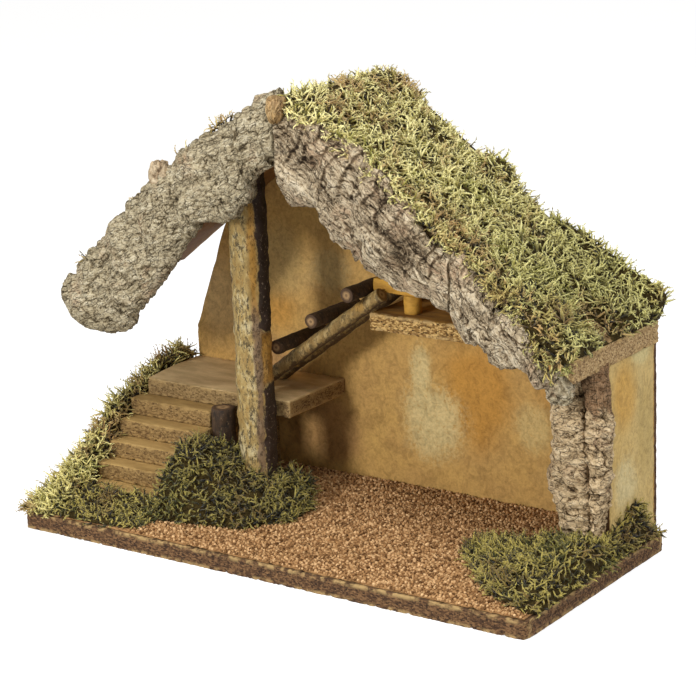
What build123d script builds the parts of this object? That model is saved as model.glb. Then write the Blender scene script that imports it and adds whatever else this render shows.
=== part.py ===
from build123d import *
import math
import os

# Wooden nativity stable: a chipboard hut with cork bark fascias, a mossy roof, an outside stair and a loft.
# Millimetres. Origin at the centre of the base board's underside, +X right, +Y back, +Z up.

# Stock that the maker cuts from
board = 12.5
hardboard = 4.0
clearance = 0.3

# Base board and the cork granules glued on it
base_width = 420.0
base_depth = 185.0
base_corner = 5.0
granule_depth = 2.2
granule_setback = 2.0

# Right wall and back panel
wall_inset = 6.0
wall_depth = 61.5
panel_left_inset = 22.4
panel_plumb_height = 98.5
panel_lean = 33.0

# Roof
ridge_x = -5.0
ridge_height = 316.0
right_pitch = 36.3
left_pitch = 37.6
eave_overhang = 1.5
left_eave_overhang = 12.4
roof_depth = 114.5

# Cork bark fascias, glued to the front edges of the roof
bark_width = 60.0
bark_thickness = 18.0
bark_rim = 4.0
bark_lump = 0.35
bark_lump_pitch = 46.0
bark_joint_x = -10.0
bark_joint_gap = 1.0
bark_splice = 0.61
chip_along = 118.0
chip_length = 15.0
chip_height = 9.0
apex_chip_width = 9.0
apex_chip_height = 20.0
apex_chip_thickness = 4.0
apex_chip_drop = 7.0

# Cork bark post at the front end of the right wall, in two lobes
bark_post_depth = 19.0
inner_lobe_width = 25.0
outer_lobe_width = 17.5
outer_lobe_reach = 5.0
lobe_gap = 0.6
lobe_round = 7.0
knob_width = 20.0
knob_height = 24.0
knob_depth = 8.0
knob_drop = 10.0
knob_round = 3.5

# Outside stair with its landing
step_count = 5
tread = 13.9
stair_width = 75.0
landing_length = 137.6
landing_depth = 69.0
landing_corner_run = 42.5
landing_corner_setback = 6.2

# Round timbers
post_diameter = 27.0
post_offset = 43.6
prop_diameter = 17.5
prop_length = 66.0
ladder_rail_diameter = 10.6
ladder_rung_diameter = 11.0
baluster_diameter = 13.0

# Ladder from the landing to the loft
ladder_foot_inset = 45.9
ladder_front_inset = 20.5
ladder_rail_spacing = 26.0
ladder_head = 16.0
rung_count = 3
rung_head = 2.5
rung_foot = 50.3
rung_length = 56.0
rung_overhang = 18.0

# Loft shelf with its railing
shelf_length = 182.3
shelf_depth = 50.5
handrail_section = 10.0
handrail_length = 110.0
handrail_setback = 8.0
baluster_height = 13.0
baluster_inset = 30.0
baluster_spacing = 50.0
baluster_count = 2

# Moss
roof_moss = 9.0
roof_moss_left = 7.0
roof_moss_drip = 7.0
bank_overhang = 2.5
bank_toe = 8.0
bank_rise = 12.0
heap_length = 88.0
heap_front = 24.0
heap_peak = 50.0
corner_length = 98.0
corner_peak = 21.0
foot_peak = 34.0

# Nails and brads
brad_diameter = 1.4
brad_length = 17.0
brad_head_diameter = 3.2
brad_head = 0.6
brad_pitch = 46.0
nail_diameter = 1.8
nail_length = 30.0
nail_head_diameter = 4.4
nail_head = 0.9
nail_recess = 0.4
roof_brad_sink = 1.5
nail_clearance = 0.1

# Places worked out from the sizes above
half_width = base_width / 2
half_depth = base_depth / 2
base_top = board
floor_top = base_top + granule_depth
panel_front = half_depth - hardboard
panel_left = -half_width + panel_left_inset
wall_outer = half_width - wall_inset
wall_inner = wall_outer - board
wall_front = panel_front - wall_depth
roof_front = half_depth - roof_depth
bark_front = roof_front - bark_thickness
eave_x = wall_outer + eave_overhang
left_eave_x = panel_left - left_eave_overhang

right_tan = math.tan(math.radians(right_pitch))
right_cos = math.cos(math.radians(right_pitch))
right_sin = math.sin(math.radians(right_pitch))
left_tan = math.tan(math.radians(left_pitch))
left_cos = math.cos(math.radians(left_pitch))
left_sin = math.sin(math.radians(left_pitch))
right_slope_length = (eave_x - ridge_x) / right_cos
left_slope_length = (ridge_x - left_eave_x) / left_cos

landing_front = panel_front - landing_depth
landing_bottom = base_top + step_count * board
landing_top = landing_bottom + board
landing_right = panel_left + landing_length
stair_right = panel_left + stair_width
stair_front = landing_front - step_count * tread

post_radius = post_diameter / 2
post_x = stair_right + post_offset
post_y = landing_front - clearance - post_radius
prop_radius = prop_diameter / 2
prop_x = stair_right + clearance + prop_radius
prop_y = landing_front - clearance - prop_radius


def right_roof_top(x):
    """Height of the right roof board's upper face above a place on X."""
    return ridge_height - right_tan * (x - ridge_x)


def right_roof_under(x):
    """Height of the right roof board's lower face above a place on X."""
    return right_roof_top(x) - board / right_cos


def left_roof_top(x):
    """Height of the left roof sheet's upper face above a place on X."""
    return ridge_height + left_tan * (x - ridge_x)


def left_roof_under(x):
    """Height of the left roof sheet's lower face above a place on X."""
    return left_roof_top(x) - hardboard / left_cos


shelf_top = right_roof_under(wall_inner) - clearance
shelf_bottom = shelf_top - board
shelf_left = wall_inner - shelf_length
shelf_front = panel_front - shelf_depth

rail_radius = ladder_rail_diameter / 2
rung_radius = ladder_rung_diameter / 2
rail_lift = rail_radius + clearance
ladder_run = shelf_left - landing_right + ladder_foot_inset
ladder_rise = shelf_top - landing_top
ladder_reach = math.hypot(ladder_run, ladder_rise)
ladder_angle = math.atan2(ladder_rise, ladder_run) + math.asin(rail_lift / ladder_reach)
ladder_cos = math.cos(ladder_angle)
ladder_sin = math.sin(ladder_angle)
rail_x = shelf_left - ladder_sin * rail_lift
rail_z = shelf_top + ladder_cos * rail_lift
ladder_length = (rail_z - landing_top) / ladder_sin
rung_lift = rail_radius + rung_radius + clearance
rung_pitch = (ladder_length + rung_head - rung_foot) / (rung_count - 1)
ladder_front_y = landing_front + ladder_front_inset
rung_front_y = ladder_front_y - rung_overhang

lobe_back = wall_front - clearance
lobe_front = lobe_back - bark_post_depth
outer_lobe_right = wall_outer + outer_lobe_reach
outer_lobe_left = outer_lobe_right - outer_lobe_width
inner_lobe_right = outer_lobe_left - lobe_gap
inner_lobe_left = inner_lobe_right - inner_lobe_width


def prism_xz(points, y_front, y_back):
    """Solid with an (x, z) outline between two planes square to Y."""
    outline = make_face(Plane.XZ.offset(-y_back) * Polyline(*points, close=True))
    return extrude(outline, amount=y_back - y_front, dir=(0, -1, 0))


def prism_yz(points, x_left, x_right):
    """Solid with a (y, z) outline between two planes square to X."""
    outline = make_face(Plane.YZ.offset(x_left) * Polyline(*points, close=True))
    return extrude(outline, amount=x_right - x_left, dir=(1, 0, 0))


def prism_xy(points, z_bottom, z_top):
    """Solid with an (x, y) outline between two level planes."""
    outline = make_face(Plane.XY.offset(z_bottom) * Polyline(*points, close=True))
    return extrude(outline, amount=z_top - z_bottom, dir=(0, 0, 1))


def block(x_left, x_right, y_front, y_back, z_bottom, z_top):
    """Board cut square, between two planes on each axis."""
    corners = [(x_left, y_front), (x_right, y_front), (x_right, y_back), (x_left, y_back)]
    return prism_xy(corners, z_bottom, z_top)


def round_timber(start, end, radius):
    """Round stick with square cut ends, from one point of its axis to another."""
    axis = Vector(*end) - Vector(*start)
    return extrude(Plane(origin=start, z_dir=axis) * Circle(radius), amount=axis.length)


def under_right_roof(gap):
    """Space under the right roof board, for cutting tall pieces to its slope."""
    far_left = ridge_x
    far_right = eave_x + bark_thickness
    points = [
        (far_left, base_top),
        (far_right, base_top),
        (far_right, right_roof_under(far_right) - gap),
        (far_left, right_roof_under(far_left) - gap),
    ]
    return prism_xz(points, bark_front, half_depth)


def under_left_roof(gap):
    """Space under the left roof sheet, for cutting the front post to its slope."""
    points = [
        (left_eave_x, base_top),
        (ridge_x, base_top),
        (ridge_x, left_roof_under(ridge_x) - gap),
        (left_eave_x, left_roof_under(left_eave_x) - gap),
    ]
    return prism_xz(points, bark_front, half_depth)


def right_slope_point(along, across):
    """Point (x, z) so far down the right roof's top line, and so far square above it."""
    return (
        ridge_x + along * right_cos + across * right_sin,
        ridge_height - along * right_sin + across * right_cos,
    )


def left_slope_point(along, across):
    """Point (x, z) so far down the left roof's top line, and so far square above it."""
    return (
        ridge_x - along * left_cos - across * left_sin,
        ridge_height - along * left_sin + across * left_cos,
    )


def make_base_board():
    """Chipboard base with eased corners."""
    plan = RectangleRounded(base_width, base_depth, base_corner)
    return extrude(plan, amount=board)


def make_granule_floor():
    """Layer of cork granules over the base, open where other pieces stand on the base."""
    plan = RectangleRounded(
        base_width - 2 * granule_setback,
        base_depth - 2 * granule_setback,
        base_corner,
    )
    layer = extrude(Plane.XY.offset(base_top) * plan, amount=granule_depth)
    footprints = [
        (-half_width, half_width, panel_front - clearance, half_depth),
        (panel_left - clearance, stair_right + clearance, stair_front - clearance, half_depth),
        (wall_inner - clearance, wall_outer + clearance, wall_front - clearance, half_depth),
        (inner_lobe_left - clearance, outer_lobe_right + clearance, lobe_front - clearance, wall_front),
    ]
    for x_left, x_right, y_front, y_back in footprints:
        layer -= block(x_left, x_right, y_front, y_back, base_top, floor_top)
    logs = [(post_x, post_y, post_radius), (prop_x, prop_y, prop_radius)]
    for x, y, radius in logs:
        layer -= round_timber((x, y, base_top), (x, y, floor_top), radius + clearance)
    return layer


def make_back_panel():
    """Hardboard back, cut to both roof slopes and leaning in above the landing on the left."""
    shoulder_x = panel_left + panel_lean
    points = [
        (panel_left, base_top),
        (wall_outer, base_top),
        (wall_outer, right_roof_under(wall_outer)),
        (ridge_x, right_roof_under(ridge_x)),
        (ridge_x, left_roof_under(ridge_x)),
        (shoulder_x, left_roof_under(shoulder_x)),
        (panel_left, base_top + panel_plumb_height),
    ]
    return prism_xz(points, panel_front, half_depth)


def make_right_wall():
    """Chipboard wall whose top is cut to the roof slope."""
    points = [
        (wall_inner, base_top),
        (wall_outer, base_top),
        (wall_outer, right_roof_under(wall_outer)),
        (wall_inner, right_roof_under(wall_inner)),
    ]
    return prism_xz(points, wall_front, panel_front)


def make_right_roof_board():
    """Chipboard roof slope from the ridge to the eave over the wall, with plumb ends."""
    points = [
        (ridge_x, right_roof_under(ridge_x)),
        (eave_x, right_roof_under(eave_x)),
        (eave_x, right_roof_top(eave_x)),
        (ridge_x, ridge_height),
    ]
    return prism_xz(points, roof_front, half_depth)


def make_left_roof_sheet():
    """Hardboard roof slope over the stair, with plumb ends."""
    points = [
        (left_eave_x, left_roof_under(left_eave_x)),
        (ridge_x, left_roof_under(ridge_x)),
        (ridge_x, ridge_height),
        (left_eave_x, left_roof_top(left_eave_x)),
    ]
    return prism_xz(points, roof_front, half_depth)


def level_at(corners, place):
    """Height of a broken line through (place, height) corners at a place between its ends."""
    for (start, low), (end, high) in zip(corners, corners[1:]):
        if place <= end:
            return low + (high - low) * (place - start) / (end - start)
    return corners[-1][1]


def bark_depth(along, share):
    """Thickness of the bark at a distance along the slope and a share of its width, domed and lumpy."""
    dome = math.sqrt(1 - abs(2 * share - 1) ** 2.6)
    turns = along / bark_lump_pitch
    wave = 0.6 * math.sin(2 * math.pi * (turns + share)) + 0.4 * math.sin(math.pi * (3 * turns - share))
    return bark_rim + (bark_thickness - bark_rim) * dome * (1 - bark_lump * (1 + wave) / 2)


def faceted(rows):
    """Solid of flat facets through rows of points, each row a closed loop square to the solid's length."""
    faces = [Face(Wire.make_polygon(row, close=True)) for row in (rows[0], rows[-1])]
    for row, after in zip(rows, rows[1:]):
        for here in range(len(row)):
            there = (here + 1) % len(row)
            faces.append(Face(Wire.make_polygon([row[here], row[there], after[here]], close=True)))
            faces.append(Face(Wire.make_polygon([row[there], after[there], after[here]], close=True)))
    return Solid(Shell(faces))


def make_fascia(upper, lower, slope_point, slope_length, x_left, x_right):
    """Bark slab between two ragged outlines, with a lumpy front of flat facets, trimmed plumb at its joints.

    The outlines run down the slope in shares of its length and of the bark's width.
    """
    first = max(upper[0][0], lower[0][0])
    last = min(upper[-1][0], lower[-1][0])
    count = round(3 * (last - first) * slope_length / bark_lump_pitch)
    rows = []
    for step in range(count + 1):
        place = first + (last - first) * step / count
        low, high = [level_at(line, place) * bark_width for line in (lower, upper)]
        along = place * slope_length
        profile = [(share, bark_depth(along, share)) for share in (0, 0.2, 0.5, 0.8, 1)]
        row = []
        for share, depth in [(0, 0)] + profile + [(1, 0)]:
            x, z = slope_point(along, low + (high - low) * share)
            row.append((x, roof_front - depth, z))
        rows.append(row)
    return faceted(rows) & block(x_left, x_right, bark_front, roof_front, base_top, 2 * ridge_height)


def make_left_fascia():
    """Cork slab along the left roof's front edge, with a knobbly lower end."""
    upper = [
        (-0.10, 0.03), (0.05, 0.17), (0.15, 0.25), (0.36, 0.32), (0.50, 0.28), (0.62, 0.20), (0.75, 0.15),
        (0.94, 0.15), (1.03, 0.0), (1.05, -0.15),
    ]
    lower = [
        (-0.10, -0.90), (0.02, -0.77), (0.18, -0.50), (0.25, -0.65), (0.36, -0.68), (0.42, -0.53),
        (0.57, -0.63), (0.77, -0.80), (0.90, -0.83), (1.01, -0.55), (1.05, -0.25),
    ]
    right = bark_joint_x - bark_joint_gap / 2
    return make_fascia(upper, lower, left_slope_point, left_slope_length, -base_width, right)


def right_splice_x():
    """Place on X where the two right slabs butt against each other."""
    return right_slope_point(bark_splice * right_slope_length, 0)[0]


def make_right_upper_fascia():
    """Wide cork slab along the upper part of the right roof's front edge."""
    upper = [
        (-0.10, 0.07), (0.10, 0.08), (0.19, 0.23), (0.28, 0.22), (0.34, 0.13), (0.45, 0.18), (0.52, 0.08),
        (0.80, 0.08),
    ]
    lower = [
        (-0.10, -0.77), (0.0, -0.77), (0.18, -0.87), (0.23, -0.72), (0.28, -0.78), (0.40, -0.73),
        (0.47, -0.82), (0.55, -0.72), (0.80, -0.55),
    ]
    left = bark_joint_x + bark_joint_gap / 2
    right = right_splice_x() - bark_joint_gap / 2
    return make_fascia(upper, lower, right_slope_point, right_slope_length, left, right)


def make_right_lower_fascia():
    """Narrower cork slab along the lower part of the right roof's front edge."""
    upper = [
        (0.50, 0.08), (0.62, 0.12), (0.68, 0.23), (0.74, 0.13), (0.84, 0.17), (0.94, 0.0), (0.985, -0.28),
    ]
    lower = [
        (0.50, -0.43), (0.66, -0.47), (0.75, -0.60), (0.82, -0.45), (0.86, -0.55), (0.93, -0.40),
        (0.985, -0.40),
    ]
    left = right_splice_x() + bark_joint_gap / 2
    return make_fascia(upper, lower, right_slope_point, right_slope_length, left, base_width)


def make_ridge_chip(fascia):
    """Small tan cork chip glued on the left fascia's top edge."""
    rim = left_slope_point(chip_along, 0)
    middle = (bark_front + roof_front) / 2
    outline = [
        left_slope_point(chip_along - chip_length / 2, 0),
        left_slope_point(chip_along + chip_length / 2, 0),
        left_slope_point(chip_along + chip_length / 2, rim[1]),
        left_slope_point(chip_along - chip_length / 2, rim[1]),
    ]
    column = prism_xz(outline, middle - bark_thickness / 4, middle + bark_thickness / 4)
    raised = Pos(-chip_height * left_sin, 0, chip_height * left_cos) * fascia
    return (column & raised) - fascia


def make_apex_chip(fascias):
    """Flake of tan cork over the joint of the left and right fascias, bedded on their lumps."""
    top = ridge_height - apex_chip_drop + apex_chip_height / 2
    half = apex_chip_width / 2
    points = [
        (bark_joint_x - half / 2, top - apex_chip_height),
        (bark_joint_x + half / 2, top - apex_chip_height),
        (bark_joint_x + half, top - apex_chip_height / 3),
        (bark_joint_x, top),
        (bark_joint_x - half, top - apex_chip_height / 3),
    ]
    flake = prism_xz(points, bark_front - apex_chip_thickness / 2, roof_front - bark_rim)
    for fascia in fascias:
        flake -= fascia
    return flake


def make_bark_lobe(x_left, x_right):
    """One lobe of the bark post: a rounded ridge of cork from the base to the roof board."""
    stock = block(x_left, x_right, lobe_front, lobe_back, base_top, ridge_height)
    corners = stock.edges().filter_by(Axis.Z).group_by(Axis.Y)[0]
    stock = fillet(corners, min(lobe_round, (x_right - x_left) / 2 - clearance))
    return stock & under_right_roof(clearance)


def make_bark_knob():
    """Grey knob of cork glued on the bark post's inner lobe, under the fascia's lower end."""
    right = inner_lobe_right
    left = right - knob_width
    top = right_roof_under(right) - knob_drop
    knob = block(left, right, lobe_front - knob_depth, lobe_front, top - knob_height, top)
    rim = knob.faces().sort_by(Axis.Y)[0]
    return fillet(rim.edges(), min(knob_round, knob_depth / 2))


def make_stair_board(step):
    """Chipboard layer of the stair, counted from the bottom, reaching back to the panel."""
    front = stair_front + (step - 1) * tread
    bottom = base_top + (step - 1) * board
    return block(panel_left, stair_right, front, panel_front, bottom, bottom + board)


def make_landing_board():
    """Chipboard landing on top of the stair, with its left front corner eased."""
    points = [
        (panel_left, panel_front),
        (panel_left, landing_front + landing_corner_run),
        (panel_left + landing_corner_setback, landing_front),
        (landing_right, landing_front),
        (landing_right, panel_front),
    ]
    return prism_xy(points, landing_bottom, landing_top)


def make_front_post():
    """Log from the base up to the left roof sheet, its head cut to the slope."""
    log = round_timber((post_x, post_y, base_top), (post_x, post_y, ridge_height), post_radius)
    return log & under_left_roof(0)


def make_landing_prop():
    """Short dark log in the corner between the stair and the landing."""
    return round_timber((prop_x, prop_y, base_top), (prop_x, prop_y, base_top + prop_length), prop_radius)


def make_ladder_rail(y):
    """Sloping stick whose foot is cut level on the landing and whose head rests on the shelf's corner."""
    foot = -ladder_length - 2 * ladder_rail_diameter
    start = (rail_x + foot * ladder_cos, y, rail_z + foot * ladder_sin)
    end = (rail_x + ladder_head * ladder_cos, y, rail_z + ladder_head * ladder_sin)
    stick = round_timber(start, end, rail_radius)
    above_landing = block(-half_width, half_width, -half_depth, half_depth, landing_top, ridge_height)
    return stick & above_landing


def rung_centre(rung):
    """Place (x, z) of a rung's axis, counted from the top, lying on the ladder rails."""
    along = rung_head - (rung - 1) * rung_pitch
    return (
        rail_x + along * ladder_cos - rung_lift * ladder_sin,
        rail_z + along * ladder_sin + rung_lift * ladder_cos,
    )


def make_ladder_rung(rung):
    """Round rung lying across both ladder rails."""
    x, z = rung_centre(rung)
    return round_timber((x, rung_front_y, z), (x, rung_front_y + rung_length, z), rung_radius)


def make_loft_shelf():
    """Chipboard loft between the back panel and the right wall."""
    return block(shelf_left, wall_inner, shelf_front, panel_front, shelf_bottom, shelf_top)


def handrail_left():
    """Left end of the handrail, which butts against the top rung."""
    return rung_centre(1)[0] + rung_radius + clearance


def make_loft_handrail():
    """Square handrail along the loft's front."""
    left = handrail_left()
    front = shelf_front + handrail_setback
    bottom = shelf_top + baluster_height
    back = front + handrail_section
    return block(left, left + handrail_length, front, back, bottom, bottom + handrail_section)


def make_loft_balusters():
    """Log stubs that carry the handrail on the loft shelf."""
    y = shelf_front + handrail_setback + handrail_section / 2
    stubs = []
    for index in range(baluster_count):
        x = handrail_left() + baluster_inset + index * baluster_spacing
        head = (x, y, shelf_top + baluster_height)
        stubs.append(round_timber((x, y, shelf_top), head, baluster_diameter / 2))
    return Compound(children=stubs)


def make_right_roof_moss():
    """Moss mat on the right roof, bulging over the eave."""
    points = [
        (ridge_x, ridge_height),
        (eave_x, right_roof_top(eave_x)),
        (eave_x, right_roof_top(eave_x) - roof_moss / 2),
        (eave_x + roof_moss_drip, right_roof_top(eave_x) - roof_moss / 3),
        (eave_x + roof_moss_drip, right_roof_top(eave_x) + roof_moss / 2),
        (eave_x, right_roof_top(eave_x) + roof_moss / right_cos),
        (ridge_x + roof_moss, ridge_height + roof_moss / 2),
        (ridge_x, ridge_height + roof_moss / 2),
    ]
    return prism_xz(points, roof_front + clearance, half_depth + roof_moss / 3)


def make_left_roof_moss():
    """Thinner moss mat on the left roof."""
    points = [
        (ridge_x, ridge_height),
        (ridge_x, ridge_height + roof_moss / 2),
        (ridge_x - roof_moss, ridge_height + roof_moss / 2),
        (left_eave_x, left_roof_top(left_eave_x) + roof_moss_left / left_cos),
        (left_eave_x, left_roof_top(left_eave_x)),
    ]
    return prism_xz(points, roof_front + clearance, half_depth + roof_moss_left / 3)


def make_stair_bank():
    """Moss bank beside the stair's left end, climbing with the steps."""
    toe = -half_depth + clearance
    points = [
        (toe, floor_top),
        (panel_front, floor_top),
        (panel_front, landing_top + bank_rise),
        (landing_front + landing_corner_run, landing_top + bank_rise / 2),
        (landing_front, landing_bottom),
        (stair_front, base_top + 2 * board + bank_toe),
        (toe, floor_top + bank_toe),
    ]
    return prism_yz(points, -half_width - bank_overhang, panel_left - clearance)


def make_stair_toe_moss():
    """Low moss in front of the bottom step."""
    toe = -half_depth + clearance
    back = stair_front - clearance
    points = [
        (toe, floor_top),
        (back, floor_top),
        (back, base_top + board + bank_toe / 2),
        (toe, floor_top + bank_toe / 2),
    ]
    return prism_yz(points, panel_left, stair_right)


def make_post_heap():
    """Moss heap between the stair's right end and the foot of the front post."""
    left = stair_right + clearance
    right = left + heap_length
    front = stair_front - heap_front
    back = landing_front - clearance
    peak = floor_top + heap_peak
    rim = floor_top + bank_toe / 2
    from_front = prism_xz(
        [(left, floor_top), (left, peak), (prop_x + prop_diameter, peak),
         (right - heap_front, floor_top + heap_peak / 3), (right, rim), (right, floor_top)],
        front, back)
    from_side = prism_yz(
        [(front, floor_top), (front, rim), (stair_front + tread, floor_top + heap_peak / 2),
         (landing_front - 2 * tread, peak), (back, peak), (back, floor_top)],
        left, right)
    from_above = prism_xy(
        [(left, front), (left + heap_length / 2, front + bank_toe),
         (right - bank_toe, front + 2 * heap_front), (right, back - heap_front), (right - bank_toe, back),
         (post_x, back), (post_x, prop_y), (left, prop_y)],
        floor_top, peak)
    heap = from_front & from_side & from_above
    for x, y, radius in [(post_x, post_y, post_radius), (prop_x, prop_y, prop_radius)]:
        heap -= round_timber((x, y, floor_top), (x, y, peak + board), radius + clearance)
    return heap


def make_corner_moss():
    """Moss heap on the right front corner of the base, in front of the bark post."""
    right = half_width + bank_overhang
    left = right - corner_length
    front = -half_depth + bank_toe
    back = lobe_front - clearance
    peak = floor_top + corner_peak
    rim = floor_top + bank_toe / 2
    from_front = prism_xz(
        [(left, floor_top), (left, rim), (inner_lobe_left, peak), (right, peak), (right, floor_top)],
        front, back)
    from_side = prism_yz(
        [(front, floor_top), (front, rim), (back - corner_peak, peak), (back, peak), (back, floor_top)],
        left, right)
    from_above = prism_xy(
        [(left, back - bank_toe), (left + corner_length / 3, (front + back) / 2 - bank_toe),
         (right - corner_length / 3, front + bank_toe), (right - bank_toe, front), (right, front + bank_toe),
         (right, back), (left + bank_toe, back)],
        floor_top, peak)
    return from_front & from_side & from_above


def make_wall_foot_moss():
    """Moss strip along the outer foot of the right wall."""
    front = wall_front + clearance
    peak = floor_top + foot_peak
    shoulder = floor_top + corner_peak
    points = [
        (front, floor_top),
        (front, shoulder),
        (front + wall_depth / 2, peak),
        (half_depth - bank_toe, shoulder),
        (half_depth - clearance, floor_top + bank_toe),
        (half_depth - clearance, floor_top),
    ]
    return prism_yz(points, wall_outer + clearance, half_width + bank_overhang)


def driven_pins(places, diameter, length, head_diameter, head):
    """Nails or brads, each with the outside of its head at its place and its point along +Z there."""
    pin = extrude(Circle(diameter / 2), amount=length)
    pin += extrude(Circle(head_diameter / 2), amount=head)
    return [place * pin for place in places]


def driven_holes(places, diameter, length, head_diameter, head, well):
    """Holes that such pins leave, with a well behind each head that is sunk below the surface."""
    hole = extrude(Circle(diameter / 2 + nail_clearance), amount=length + nail_clearance)
    hole += extrude(
        Plane.XY.offset(-well) * Circle(head_diameter / 2 + nail_clearance),
        amount=well + head + nail_clearance,
    )
    return [place * hole for place in places]


def drill(solid, holes):
    """Piece with the holes of the pins that are driven into it."""
    for hole in holes:
        solid -= hole
    return solid


def row(first, last, pitch):
    """Even places from first to last, as many as the pitch needs."""
    spans = max(1, round((last - first) / pitch))
    return [first + (last - first) * index / spans for index in range(spans + 1)]


def panel_brad_places():
    """Brads driven from behind through the panel into the wall, the loft and the landing."""
    edge = brad_length
    wall_top = right_roof_under(wall_outer)
    spots = [(wall_outer - board / 2, z) for z in row(base_top + edge, wall_top - edge, brad_pitch)]
    spots += [(x, shelf_top - board / 2) for x in row(shelf_left + edge, wall_inner - edge, brad_pitch)]
    spots += [(x, landing_top - board / 2) for x in row(panel_left + edge, landing_right - edge, brad_pitch)]
    return [Plane(origin=(x, half_depth, z), x_dir=(1, 0, 0), z_dir=(0, -1, 0)) for x, z in spots]


def roof_brad_places():
    """Brads driven plumb through the right roof board into the wall, with their heads sunk in the slope."""
    x = (wall_inner + wall_outer) / 2
    z = right_roof_top(x) - roof_brad_sink
    ys = row(wall_front + brad_length, panel_front - brad_length, brad_pitch)
    return [Plane(origin=(x, y, z), x_dir=(1, 0, 0), z_dir=(0, 0, -1)) for y in ys]


def base_nail_places():
    """Nails driven up through the base into the wall, the stair and the front post."""
    wall_x = (wall_inner + wall_outer) / 2
    stair_y = (landing_front + panel_front) / 2
    spots = [(wall_x, y) for y in row(wall_front + brad_length, panel_front - brad_length, brad_pitch)]
    spots += [(x, stair_y) for x in row(panel_left + brad_length, stair_right - brad_length, brad_pitch)]
    spots += [(post_x, post_y)]
    return [Plane(origin=(x, y, nail_recess)) for x, y in spots]


brad_sizes = (brad_diameter, brad_length, brad_head_diameter, brad_head)
roof_brad_sizes = (brad_diameter, board / right_cos + brad_length, brad_head_diameter, brad_head)
nail_sizes = (nail_diameter, nail_length, nail_head_diameter, nail_head)

panel_holes = driven_holes(panel_brad_places(), *brad_sizes, well=nail_clearance)
roof_holes = driven_holes(roof_brad_places(), *roof_brad_sizes, well=2 * roof_brad_sink)
base_holes = driven_holes(base_nail_places(), *nail_sizes, well=nail_recess)

left_fascia = make_left_fascia()
right_fascia = make_right_upper_fascia()

pieces = {
    "base_board": drill(make_base_board(), base_holes),
    "granule_floor": make_granule_floor(),
    "back_panel": drill(make_back_panel(), panel_holes),
    "right_wall": drill(make_right_wall(), panel_holes + roof_holes + base_holes),
    "roof_board_right": drill(make_right_roof_board(), roof_holes),
    "roof_sheet_left": make_left_roof_sheet(),
    "bark_fascia_left": left_fascia,
    "bark_fascia_right_upper": right_fascia,
    "bark_fascia_right_lower": make_right_lower_fascia(),
    "bark_chip_left": make_ridge_chip(left_fascia),
    "bark_chip_apex": make_apex_chip([left_fascia, right_fascia]),
    "bark_post_inner": make_bark_lobe(inner_lobe_left, inner_lobe_right),
    "bark_post_outer": make_bark_lobe(outer_lobe_left, outer_lobe_right),
    "bark_knob": make_bark_knob(),
    "landing_board": drill(make_landing_board(), panel_holes),
    "landing_prop": make_landing_prop(),
    "front_post": drill(make_front_post(), base_holes),
    "ladder_rail_front": make_ladder_rail(ladder_front_y),
    "ladder_rail_back": make_ladder_rail(ladder_front_y + ladder_rail_spacing),
    "loft_shelf": drill(make_loft_shelf(), panel_holes),
    "loft_handrail": make_loft_handrail(),
    "loft_balusters": make_loft_balusters(),
    "moss_roof_right": make_right_roof_moss(),
    "moss_roof_left": make_left_roof_moss(),
    "moss_stair_bank": make_stair_bank(),
    "moss_stair_toe": make_stair_toe_moss(),
    "moss_post_heap": make_post_heap(),
    "moss_corner": make_corner_moss(),
    "moss_wall_foot": make_wall_foot_moss(),
    "back_panel_brads": Compound(children=driven_pins(panel_brad_places(), *brad_sizes)),
    "roof_brads": Compound(children=driven_pins(roof_brad_places(), *roof_brad_sizes)),
    "base_nails": Compound(children=driven_pins(base_nail_places(), *nail_sizes)),
}
for step in range(1, step_count + 1):
    pieces[f"stair_board_{step}"] = drill(make_stair_board(step), base_holes)
for rung in range(1, rung_count + 1):
    pieces[f"ladder_rung_{rung}"] = make_ladder_rung(rung)

os.makedirs("parts", exist_ok=True)
for name, piece in pieces.items():
    export_step(piece, f"parts/{name}.step")
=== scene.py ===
"""Looks of a wooden nativity stable: worn boards, logs, cork bark, cork granules and dried moss.

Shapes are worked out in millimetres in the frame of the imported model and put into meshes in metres.
"""

import logging
import math
from dataclasses import dataclass, field
from enum import Enum
from typing import Callable, Sequence

import bpy
import numpy as np
from mathutils import Matrix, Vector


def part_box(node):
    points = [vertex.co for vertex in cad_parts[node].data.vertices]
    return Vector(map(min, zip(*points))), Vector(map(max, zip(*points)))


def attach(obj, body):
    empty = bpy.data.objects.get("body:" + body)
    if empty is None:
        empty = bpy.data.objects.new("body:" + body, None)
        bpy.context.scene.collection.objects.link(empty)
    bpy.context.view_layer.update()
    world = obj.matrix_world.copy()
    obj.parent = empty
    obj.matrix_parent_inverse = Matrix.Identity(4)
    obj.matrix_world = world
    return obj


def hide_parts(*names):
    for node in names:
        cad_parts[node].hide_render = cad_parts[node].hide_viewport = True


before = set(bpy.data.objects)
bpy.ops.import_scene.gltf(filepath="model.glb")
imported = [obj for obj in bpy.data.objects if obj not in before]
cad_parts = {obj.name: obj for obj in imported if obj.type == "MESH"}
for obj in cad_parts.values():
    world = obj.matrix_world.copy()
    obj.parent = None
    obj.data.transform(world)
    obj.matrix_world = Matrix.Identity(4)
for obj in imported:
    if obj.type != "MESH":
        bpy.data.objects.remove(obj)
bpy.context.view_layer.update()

LOG = logging.getLogger("stable")
MM = 0.001
Array = np.ndarray
Triple = tuple[float, float, float]
Colour = Triple
Outline = tuple[tuple[float, float], ...]
Section = Callable[[Array], Array]
Place = Callable[[Array, Array, Array], Array]
Socket = bpy.types.NodeSocket

WHITE = (1.0, 1.0, 1.0)
RIGHT_PITCH = math.radians(36.3)
LEFT_PITCH = math.radians(37.6)
RIDGE_X = -5.0
RIDGE_Z = 316.0
# Plumb thickness of the right roof board and of the left roof sheet, and the gap between stacked boards.
BOARD_PLUMB = 15.51
SHEET_PLUMB = 5.05
SEAT = 0.05


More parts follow.
